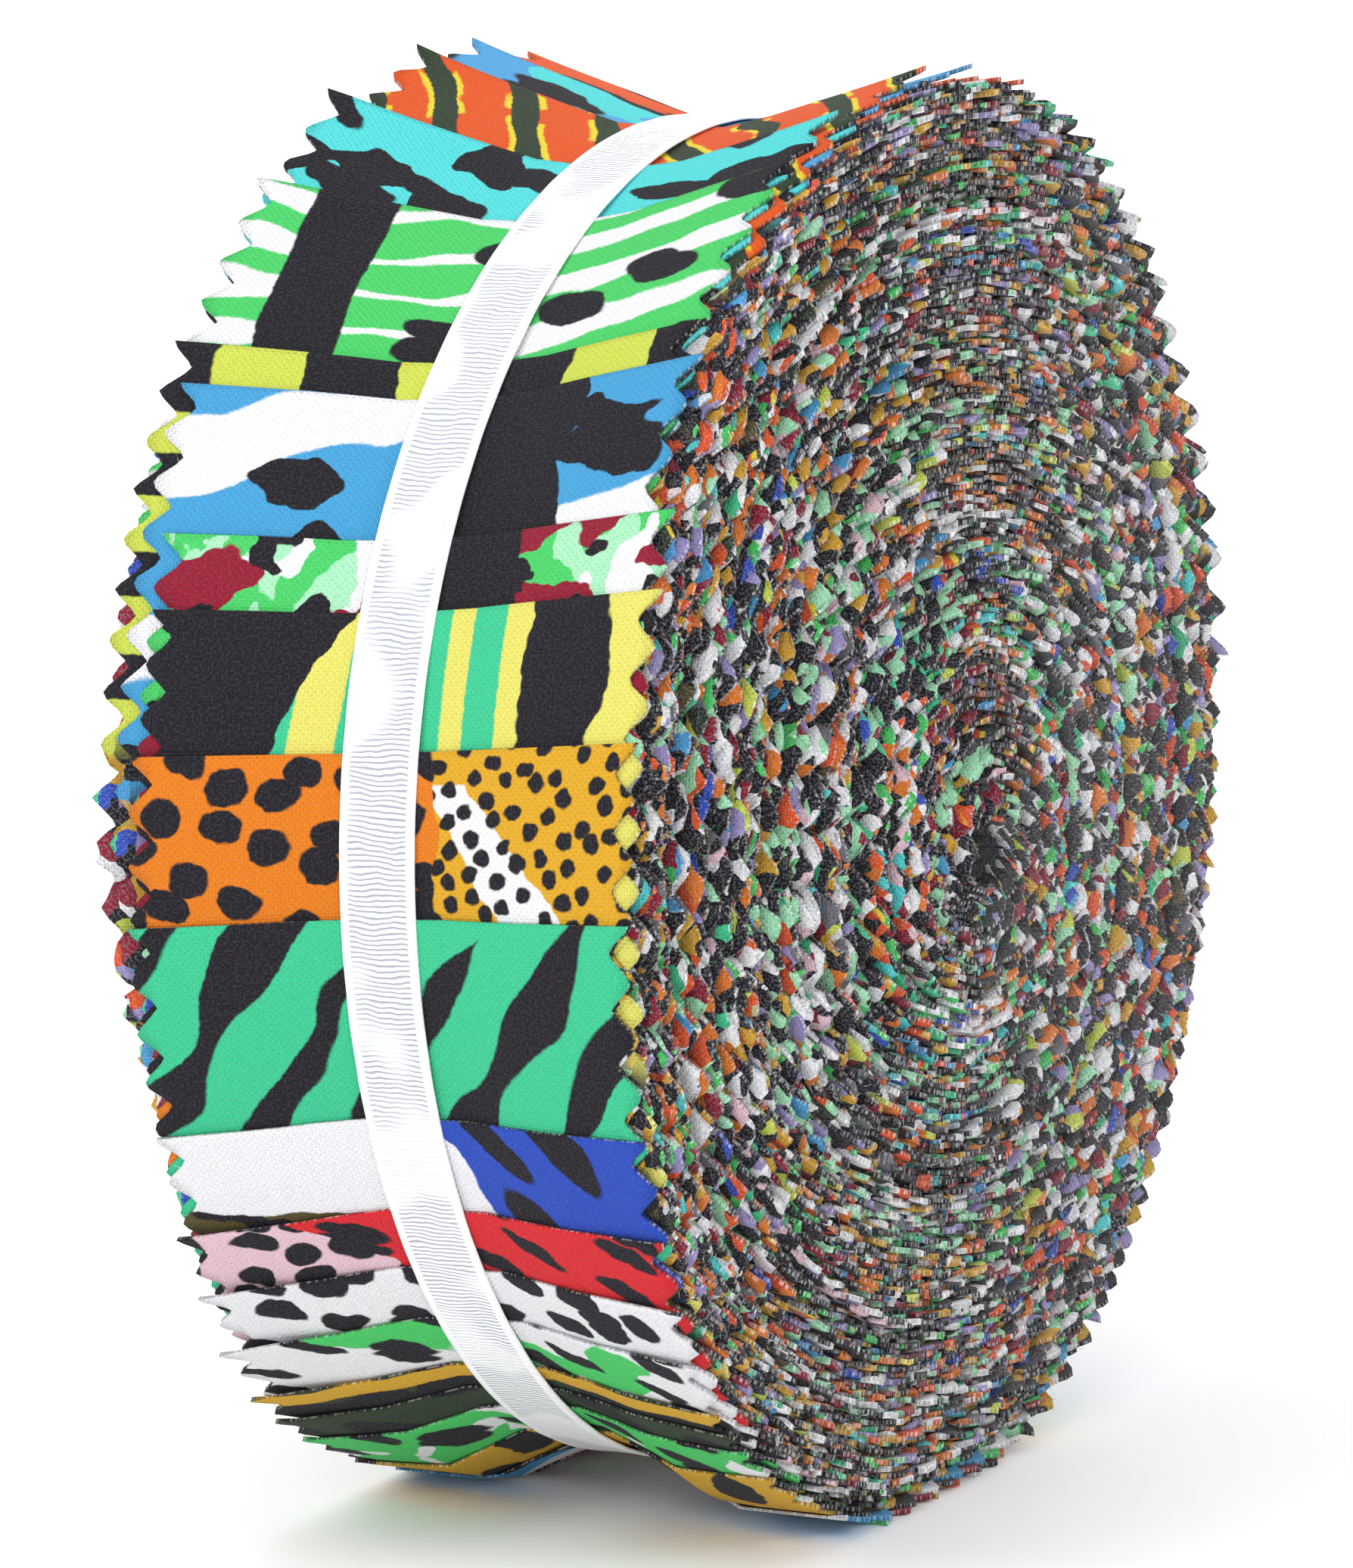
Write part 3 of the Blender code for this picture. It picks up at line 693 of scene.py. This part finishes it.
def print_blue_splash(finish, cloth):
    """Blue with broad white tongues that slope across, and a wide ragged black splash."""
    distance = waves(finish, cloth, 1.0, 0.30, 27.0, 12.0, 6.4)
    colour = finish.over(BLUE, WHITE, 1 - finish.past(distance, 0.17, 0.01))
    ragged = finish.warped(cloth, 9.0, 6.0, 8.0)
    torn = finish.past(finish.noise(ragged, 24.0, 3.3, detail=1.0), 0.36, 0.01)
    splash = finish.within(finish.axis(ragged, "Y"), 1.5, 17.5) * torn
    lobes = finish.blots(ragged, 13.0, 9.3, 0.22, stretch=(1.0, 0.5))
    return finish.over(colour, CHARCOAL, finish.math("MAXIMUM", splash, lobes))


def print_lime_block(finish, cloth):
    """Yellow-green with black blocks, one after another across, and lobes along both edges."""
    u = finish.axis(cloth, "X")
    v = finish.axis(finish.warped(cloth, 7.0, 3.0, 2.6), "Y")
    blocks = 1 - finish.past(finish.math("PINGPONG", v + 10.5, 10.5), 5.2)
    teeth = finish.math("PINGPONG", u + 2.0, TOOTH_PITCH * 1000)
    lobes = finish.past(teeth, 3.6) * finish.past(u, 6.0)
    black = finish.math("MAXIMUM", blocks * (1 - finish.past(u, 9.0)), lobes)
    return finish.over(LIME, CHARCOAL, black)


def print_green_zebra(finish, cloth):
    """Green and white zebra waves that run across, black lobes, and a black bar near one edge."""
    distance = waves(finish, cloth, 1.0, 0.06, 7.4, 9.0, 4.4)
    width = finish.noise(cloth, 30.0, 2.2, detail=0.5) * 0.5 - 0.07
    colour = finish.over(LEAF, WHITE, finish.past(width - distance, 0.0, 0.03))
    ragged = finish.warped(cloth, 14.0, 5.0, 4.4)
    bar = finish.axis(finish.warped(cloth, 20.0, 3.0, 1.3), "Y")
    lobes = finish.strokes(ragged, 80.0, 20.0, 10.0, 0.25, (5.0, 12.0), 0.9)
    colour = finish.over(colour, CHARCOAL, lobes * finish.past(bar, -10.0))
    return finish.over(colour, CHARCOAL, finish.within(bar, -24.5, -15.5))


def print_flame_bars(finish, cloth):
    """Orange-red with dark green slanted bars, and yellow showing beside them in places."""
    distance = waves(finish, cloth, -0.6, 1.0, 10.0, 6.0, 9.1)
    places = finish.past(finish.noise(cloth, 8.0, 1.1, detail=1.0), 0.47, 0.03)
    colour = finish.over(FLAME, YELLOW, finish.within(distance, 0.12, 0.24, 0.02) * places)
    return finish.over(colour, BOTTLE, 1 - finish.past(distance, 0.16, 0.015))


def print_red_stroke(finish, cloth):
    """Red with black streaks to the right, and pale pink with black spots to the left."""
    ragged = finish.warped(cloth, 8.0, 4.0, 5.3)
    long = finish.strokes(ragged, 58.0, 15.0, 4.6, 0.30, (1.0, 2.0))
    spots = finish.strokes(ragged, 75.0, 7.0, 5.0, 0.34, (2.0, 2.0), 0.7)
    u, v = finish.axes(ragged)
    pale = finish.past((0 - v) + (u - 12.0) * 1.2, 4.0)
    return finish.over(finish.over(RED, CHARCOAL, long), finish.over(PINK, CHARCOAL, spots), pale)


def print_amber_band(finish, cloth):
    """Dark green and black, with an amber band along the cut end and again further in."""
    ragged = finish.warped(cloth, 12.0, 3.0, 8.8)
    colour = finish.over(BOTTLE, CHARCOAL, finish.blots(ragged, 12.0, 3.0, 0.5))
    band = finish.math("PINGPONG", finish.axis(ragged, "X") - 1.8, 13.0)
    return finish.over(colour, MUSTARD, 1 - finish.past(band, 1.7))


def print_white_cobalt(finish, cloth):
    """Plain white to the left, cobalt with black veins to the right, and olive low down."""
    ragged = finish.warped(cloth, 16.0, 6.0, 3.9)
    u, v = finish.axes(ragged)
    veins = finish.strokes(ragged, 38.0, 24.0, 7.0, 0.32, (3.0, 1.0))
    colour = finish.over(WHITE, finish.over(COBALT, CHARCOAL, veins), finish.past(v - u * 0.5, 2.0))
    low = finish.over(OLIVE, CHARCOAL, finish.blots(ragged, 9.0, 4.0, 0.5))
    return finish.over(colour, low, finish.past(u - v * 0.16, 15.5) * (1 - finish.past(u, 60.0)))


def print_plainer(finish, cloth, ground, warp, strokes, blot=None, blots=None):
    """One of the plainer designs: a ground, blots of a second colour on some, and black strokes over
    them, all on the cloth pushed about by noise."""
    ragged = finish.warped(cloth, *warp)
    if blots:
        ground = finish.over(ground, blot, finish.blots(ragged, *blots))
    return finish.over(ground, CHARCOAL, finish.strokes(ragged, *strokes))


OWN_PRINTS = (
    print_teal_zebra, print_orange_leopard, print_black_lemon, print_green_wine, print_blue_splash,
    print_lime_block, print_green_zebra, print_flame_bars, print_red_stroke, print_amber_band,
    print_white_cobalt,
)
PRINTS = {own.__name__.removeprefix("print_"): own for own in OWN_PRINTS}
# The plainer designs: the ground, the numbers of warped and of strokes, and for some the blots'
# colour and numbers
PLAINER_PRINTS = {
    "aqua_leaf": (
        AQUA, (10.0, 6.0, 7.7), (64.0, 22.0, 8.5, 0.28, (3.0, -20.0), 0.9), CHARCOAL, (16.0, 4.0, 0.22),
    ),
    "sky_stroke": (SKY, (10.0, 5.0, 3.3), (70.0, 24.0, 7.5, 0.30, (0.0, 3.0)), AQUA, (18.0, 1.0, 0.3)),
    "white_leaf": (
        WHITE, (9.0, 5.0, 7.1), (60.0, 14.0, 5.0, 0.28, (2.0, 2.0), 0.9), LEAF,
        (13.0, 2.0, 0.45, (1.0, 0.6)),
    ),
    "green_brush": (
        LEAF, (8.0, 4.0, 2.2), (58.0, 13.0, 5.5, 0.32, (0.0, 0.0), 0.9), WHITE, (9.0, 7.0, 0.22),
    ),
    "lilac_spot": (LILAC, (8.0, 4.0, 1.9), (20.0, 8.0, 7.0, 0.34), WHITE, (14.0, 3.0, 0.35)),
    "white_spot": (WHITE, (7.0, 4.0, 6.1), (66.0, 9.0, 6.0, 0.32, (1.0, 1.0), 0.9)),
    "orange_stroke": (FLAME, (9.0, 5.0, 3.1), (74.0, 26.0, 7.5, 0.30)),
    "bottle_green": (BOTTLE, (9.0, 5.0, 3.1), (60.0, 18.0, 8.0, 0.34)),
    "mustard_bars": (MUSTARD, (9.0, 5.0, 3.1), (8.0, 20.0, 8.5, 0.33, (0.0, 3.0))),
}

# The rest of a strip's design, which only its pinked edges show: these colours in patches
FURTHER_COLOURS = [
    (0.00, CHARCOAL), (0.41, GREY), (0.45, WHITE), (0.60, MINT), (0.665, LEAF), (0.70, ORANGE),
    (0.76, MUSTARD), (0.82, WINE), (0.88, LILAC), (0.92, TEAL), (0.935, AQUA), (0.95, FLAME),
    (0.97, COBALT), (0.985, OLIVE),
]
# A patch's size in millimetres, and the share of them that keep the strip's own print
FURTHER_PATCH, FURTHER_OWN = 2.9, 0.22


def further_in(finish, cloth, printed, share):
    """The print of the wound length: patches a few millimetres wide over most of the design, each
    a scattered cell with its own colour off a stepped ramp."""
    ragged = finish.warped(cloth, 4.0, 3.0, 5.0)
    pick = finish.cells(ragged, FURTHER_PATCH, 1.0, output=1)
    colours = finish.ramp(finish.axis(pick, "X"), FURTHER_COLOURS)
    shown = finish.past(finish.axis(pick, "Y"), FURTHER_OWN, 0.01)
    return finish.over(printed, colours, shown * share)


def woven(finish, cloth):
    """A plain weave's height: yarns one way and the other pass over and under in turn."""
    u, v = finish.axes(cloth)
    crossing = finish.wave(u, 2 * YARN) * finish.wave(v, 2 * YARN)
    along = finish.math("SINE", u * (2 * math.pi / YARN) + crossing)
    across = finish.math("SINE", v * (2 * math.pi / YARN) - crossing)
    return crossing * 0.4 + (along + across) * 0.3


# Each on a strip's outer end, and how much more on its wound length: the fleck's share, the
# painted shade of the weave's low yarns, and the height of the nap
FLECKS, FLECKS_MORE = 0.07, 0.36
WEAVE_PAINTED_SHADE, WEAVE_PAINTED_SHADE_MORE = 0.14, 0.04
NAP, NAP_MORE = 1.2, 3.0
# The wound teeth get painted shade in their notches and painted light from this distance across
# outwards
TIP_FROM, TIP_SOFT = 30.5, 1.0
TIP_PAINTED_LIGHT, NOTCH_PAINTED_SHADE = 0.42, 0.26
WEAVE_HEIGHT = 0.0001


def cotton_finish(name):
    """Printed cotton on a plain weave with a faint nap: the print, paler on the plain side, with
    pale flecks where dark cloth is worn, and half charcoal, half bare fibres on the cut edges.
    The weave's low yarns and the wound teeth's notches carry painted shade, and the tips painted light."""
    finish = Finish(name)
    cloth = finish.flat_cloth()
    ragged = finish.warped(cloth, 0.9, 0.35, 0.7)
    wound_in = finish.past(finish.axis(cloth, "X"), SHOWN_TEETH * TOOTH_PITCH * 1000, 3.0)
    shift = finish.node("ShaderNodeAttribute", {"attribute_name": "design_shift"}, {}, "Vector")
    placed = finish.vector_math("ADD", ragged, shift)
    if name in PRINTS:
        design = PRINTS[name](finish, placed)
    else:
        design = print_plainer(finish, placed, *PLAINER_PRINTS[name])
    printed = further_in(finish, ragged, design, wound_in)
    side = finish.node("ShaderNodeAttribute", {"attribute_name": "plain_side"}, {}, "Fac")
    fine = finish.noise(cloth, 0.35, 11.0)
    through = finish.over(printed, BARE_COTTON, 0.10 * finish.past(side, 0.8, 0.1))
    flecks = finish.past(finish.noise(cloth, 0.34, 6.0), 0.54, 0.06)
    flecked = finish.over(through, PALE_FLECK, flecks * (FLECKS + FLECKS_MORE * wound_in), "LIGHTEN")
    cut = finish.within(side, 0.12, 0.88, 0.08)
    threads = finish.over(CHARCOAL, BARE_COTTON, finish.past(fine, 0.55, 0.08))
    frayed = finish.over(flecked, threads, cut * 0.45)
    weave = woven(finish, cloth)
    painted_light_at_tip = finish.past(abs(finish.axis(cloth, "Y")), TIP_FROM, TIP_SOFT)
    # A random tone from fine noise, with painted shade on the weave's low yarns
    tone_and_painted_shade = 0.78 + fine * 0.20 + weave * (WEAVE_PAINTED_SHADE + WEAVE_PAINTED_SHADE_MORE * wound_in)
    # Painted shade deep in the wound teeth's notches, and painted light at their tips
    tone_and_painted_shade = tone_and_painted_shade + (TIP_PAINTED_LIGHT * painted_light_at_tip - NOTCH_PAINTED_SHADE) * wound_in
    finish.feed("Base Color", finish.scaled(frayed, tone_and_painted_shade))
    finish.feed("Roughness", 0.92)
    finish.feed("Specular IOR Level", 0.22)
    finish.feed("Sheen Weight", 0.03)
    finish.feed("Sheen Roughness", 0.4)
    nap = finish.noise(cloth, 0.5, 4.0, detail=3.0) * (NAP + NAP_MORE * wound_in)
    bump = {"Strength": 1.0, "Distance": WEAVE_HEIGHT, "Height": weave + nap}
    finish.feed("Normal", finish.node("ShaderNodeBump", {}, bump))
    return finish.material


def put_mesh(name, points, faces, flat, material):
    """An object whose mesh has these points and faces, smooth, with the flat map as its UV."""
    mesh = bpy.data.meshes.new(name)
    mesh.from_pydata(points.tolist(), [], faces)
    mesh.shade_smooth()
    corners = np.empty(len(mesh.loops), dtype=np.int32)
    mesh.loops.foreach_get("vertex_index", corners)
    layer = mesh.uv_layers.new(name="flat")
    layer.uv.foreach_set("vector", flat[corners].astype(np.float32).ravel())
    mesh.materials.append(material)
    made = bpy.data.objects.new(name, mesh)
    bpy.context.scene.collection.objects.link(made)
    return made


def strip_name(k):
    """The name of strip k's piece. After the last comes the first again."""
    return f"cotton_strip_{k % STRIP_COUNT + 1:02d}"


# How far on, in millimetres of cloth, each strip behind is cut from the same design
DESIGN_STEP = np.array([41.0, 17.0, 0.0])
cottons = {name: cotton_finish(name) for name in [*PRINTS, *PLAINER_PRINTS]}
cut_edges = []
for k in range(STRIP_COUNT):
    points, flat, printed_size, faces, rim = strip_mesh(k)
    cut_edges.append((points[rim], points[rim + printed_size], flat[rim, 1]))
    strip = put_mesh(strip_name(k), points, faces, flat, cottons[strips[k]["cloth"]])
    plain_side = strip.data.attributes.new("plain_side", "FLOAT", "POINT")
    on_plain_side = np.arange(len(points)) >= printed_size
    plain_side.data.foreach_set("value", on_plain_side.astype(np.float32))
    shift = DESIGN_STEP * max(k - len(ENDS) + 1, 0)
    design_shift = strip.data.attributes.new("design_shift", "FLOAT_VECTOR", "POINT")
    design_shift.data.foreach_set("vector", np.tile(shift, len(points)).astype(np.float32))
    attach(strip, "root")
    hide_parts(f"strip_{k + 1:02d}", "roll")

# Loose fibres: the fuzz that pinking leaves along the cut edges
# Short cotton ends that stand off the teeth in all directions, in the colours of the prints.

# How many each strip has on the face to the right in the picture, and on the other face
FIBRES = {"right": 880, "left": 480}
FIBRE_LENGTH = (0.0004, 0.0012)
FIBRE_WIDTH = 0.00007
# They start this deep in the cloth, only this far or further across, and stay this far off the floor
FIBRE_ROOT, PINKED_FROM, FLOOR_GAP = 0.0001, 0.0285, 0.0001
SIDEWAYS = 0.8
FIBRE_COLOURS = [
    (CHARCOAL, 0.38), (GREY, 0.16), (WHITE, 0.16), (MINT, 0.06), (LEAF, 0.05), (ORANGE, 0.05),
    (MUSTARD, 0.04), (WINE, 0.04), (LILAC, 0.03), (AQUA, 0.03),
]
FIBRE_SEED = 12


def fibre_spikes(side, count, rng):
    """Thin three-sided spikes: each starts at a random place on a strip's cut edge, between two of
    its points and between its two faces, and leans out along X and to any side."""
    roots = []
    for printed_edge, plain_edge, across in cut_edges:
        ahead = np.roll(np.arange(len(across)), -1)
        on_teeth = side * across > PINKED_FROM
        pinked = np.flatnonzero(on_teeth & on_teeth[ahead])
        n = rng.choice(pinked, count)
        t, s = rng.uniform(0, 1, (2, count, 1))
        near = printed_edge[n] * (1 - s) + plain_edge[n] * s
        far = printed_edge[ahead[n]] * (1 - s) + plain_edge[ahead[n]] * s
        roots.append(near * (1 - t) + far * t)
    roots = np.concatenate(roots)
    lean = rng.normal(0, SIDEWAYS, roots.shape)
    lean[:, 0] = side * rng.uniform(0.1, 1.0, len(roots))
    lean /= np.linalg.norm(lean, axis=1, keepdims=True)
    length = rng.uniform(*FIBRE_LENGTH, (len(roots), 1))
    flank = np.cross(lean, rng.normal(0, 1, roots.shape))
    flank /= np.linalg.norm(flank, axis=1, keepdims=True)
    third = np.cross(lean, flank)
    half = FIBRE_WIDTH / 2
    corners = [flank, -0.5 * flank + 0.87 * third, -0.5 * flank - 0.87 * third]
    base = [roots - FIBRE_ROOT * lean + half * corner for corner in corners]
    spikes = np.stack([*base, roots + lean * length], axis=1)
    spikes[..., 2] = np.maximum(spikes[..., 2], FLOOR_GAP)
    return spikes


def fibre_finish():
    """Cotton fibre, in the colour that each spike carries."""
    finish = Finish("loose_fibre")
    colour = finish.node("ShaderNodeAttribute", {"attribute_name": "fibre"}, {}, "Color")
    finish.feed("Base Color", colour)
    finish.feed("Roughness", 0.9)
    return finish.material


SPIKE_FACES = np.array([[0, 2, 1], [0, 1, 3], [1, 2, 3], [2, 0, 3]])
fibre_rng = np.random.default_rng(FIBRE_SEED)
fibre_material = fibre_finish()
for side_name, side in (("right", 1), ("left", -1)):
    spikes = fibre_spikes(side, FIBRES[side_name], fibre_rng)
    first = np.arange(len(spikes))[:, None, None] * 4
    faces = (first + SPIKE_FACES[None]).reshape(-1, 3)
    fuzz_mesh = bpy.data.meshes.new(f"loose_fibres_{side_name}")
    fuzz_mesh.from_pydata(spikes.reshape(-1, 3).tolist(), [], faces.tolist())
    inks = np.array([colour for colour, _ in FIBRE_COLOURS])
    picked = fibre_rng.choice(len(inks), len(spikes), p=[share for _, share in FIBRE_COLOURS])
    tint = fuzz_mesh.attributes.new("fibre", "FLOAT_COLOR", "POINT")
    on_points = np.repeat(inks[picked], 4, axis=0)
    tint.data.foreach_set("color", on_points.astype(np.float32).ravel())
    fuzz_mesh.materials.append(fibre_material)
    fuzz = bpy.data.objects.new(f"loose_fibres_{side_name}", fuzz_mesh)
    bpy.context.scene.collection.objects.link(fuzz)
    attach(fuzz, "root")

# The ribbon: a narrow sheer band of white woven polyester, drawn tight round the waist
# Its ends are joined flat at the back. The edges are woven closer than the middle.

RIBBON_WIDTH = 0.0095
RIBBON_THICKNESS = 0.00022
RIBBON_COLUMNS = 400
# The angle at which its length starts and ends
RIBBON_LAP = 200.0
RIBBON_ROWS = np.array([-1.0, -0.9, -0.78, -0.4, 0.0, 0.4, 0.78, 0.9, 1.0])
RIBBON_CLEARANCE = 0.00012
SELVEDGE, SELVEDGE_FROM, SELVEDGE_TO = 0.00010, 0.7, 0.95
# The puckers' height, their slant, and their waves round the roll, which swell and fade
PUCKER, PUCKER_SLANT, PUCKER_WAVES, PUCKER_SWELLS = 0.00004, 2.1, 61, 7
# In millimetres: where the closer edges begin, and the pitches of the ribs, of the edges' twist and
# of the fine yarns
CLOSE_FROM = 3.7
RIB_PITCH, TWIST_PITCH, FINE_PITCH = 0.62, 0.7, 0.3
# The ribbon's white, and the grey-blue painted shade in its open gaps
RIBBON_WHITE, RIBBON_GAP_PAINTED_SHADE = ink(250, 251, 254), ink(196, 200, 212)


def ribbon_grid():
    """The band's outer and inner faces: its middle follows the waist's middle, and its edges stand
    up as small beads. Fine puckers run across it."""
    angle = RIBBON_LAP + np.arange(RIBBON_COLUMNS)[:, None] * 360 / RIBBON_COLUMNS
    across = RIBBON_ROWS[None, :]
    x = ribbon_middle(angle) + across * RIBBON_WIDTH / 2
    turn = np.radians(angle)
    pucker = PUCKER * np.sin(turn * PUCKER_WAVES + PUCKER_SLANT * across) * np.sin(turn * PUCKER_SWELLS)
    bead = SELVEDGE * (np.abs(across) > SELVEDGE_FROM) * (np.abs(across) < SELVEDGE_TO)
    outer = on_roll(x, angle, 1.0, RIBBON_CLEARANCE + RIBBON_THICKNESS + pucker + bead)
    inner = on_roll(x, angle, 1.0, RIBBON_CLEARANCE + pucker * 0.5)
    path = on_roll(ribbon_middle(angle), angle, 1.0)[:, 0]
    steps = np.linalg.norm(np.diff(path, axis=0, append=path[:1]), axis=1)
    along = np.concatenate([[0], np.cumsum(steps)[:-1]])
    flat = np.stack(np.broadcast_arrays(along[:, None], across * RIBBON_WIDTH / 2), axis=-1)
    return outer, inner, flat, steps.sum()


def sheer_finish():
    """White filament yarn: close at the two edges, open ribs in the middle that bunch unevenly. The open
    gaps between the ribs are partly see-through and carry a grey-blue painted shade.
    """
    finish = Finish("sheer_ribbon")
    cloth = finish.flat_cloth()
    u, v = finish.axes(cloth)
    edge = finish.past(abs(v), CLOSE_FROM, 0.12)
    drifted = finish.axis(finish.warped(cloth, 5.0, 1.4, 2.0), "X")
    rib = finish.wave(drifted, RIB_PITCH) * 0.5 + 0.5
    bunched = finish.past(finish.noise(cloth, 14.0, 3.0, detail=1.0), 0.48, 0.06)
    gap = (1 - finish.past(rib, 0.34, 0.2)) * (1 - edge)
    # The open gaps between the ribs get a grey-blue painted shade
    finish.feed("Base Color", finish.over(RIBBON_WHITE, RIBBON_GAP_PAINTED_SHADE, gap * (0.4 + bunched * 0.6)))
    finish.feed("Roughness", 0.5)
    finish.feed("Sheen Weight", 0.1)
    finish.feed("Alpha", 1 - gap * (0.10 + bunched * 0.30))
    twist = finish.wave(u + v * 0.6, TWIST_PITCH) * edge
    height = rib * (1 - edge) + twist * 0.8 + finish.wave(v, FINE_PITCH) * 0.2
    bump = {"Strength": 0.6, "Distance": WEAVE_HEIGHT, "Height": height}
    finish.feed("Normal", finish.node("ShaderNodeBump", {}, bump))
    return finish.material


def tube_faces(columns, rows):
    """The faces of a closed band of two grids, outer then inner, with its two edges closed. The
    columns go round with the angle, so a grid's own faces point outwards."""
    outer_faces = grid_faces(columns, rows, closed=True)
    inner_faces = outer_faces[:, ::-1] + columns * rows
    here, after = np.arange(columns) * rows, (np.arange(columns) + 1) % columns * rows
    below = columns * rows
    first = np.stack([here, after, after + below, here + below], axis=-1)
    last = first[:, ::-1] + rows - 1
    return np.concatenate([outer_faces, inner_faces, first, last]).tolist()


outer, inner, flat, ribbon_length = ribbon_grid()
ribbon_points = np.concatenate([outer.reshape(-1, 3), inner.reshape(-1, 3)])
ribbon_flat = np.concatenate([flat.reshape(-1, 2)] * 2)
ribbon_faces = tube_faces(*outer.shape[:2])
ribbon = put_mesh("sheer_ribbon", ribbon_points, ribbon_faces, ribbon_flat, sheer_finish())
# The last faces run on to the band's full length, and not back to its start
ribbon_map = np.empty(len(ribbon.data.loops) * 2, dtype=np.float32)
ribbon.data.uv_layers["flat"].uv.foreach_get("vector", ribbon_map)
quads = ribbon_map.reshape(-1, 4, 2)
past_lap = quads[:, :, 0] < quads[:, :, 0].max(axis=1, keepdims=True) - ribbon_length / 2
quads[:, :, 0] += past_lap * ribbon_length
ribbon.data.uv_layers["flat"].uv.foreach_set("vector", quads.ravel())
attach(ribbon, "root")
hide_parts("ribbon")
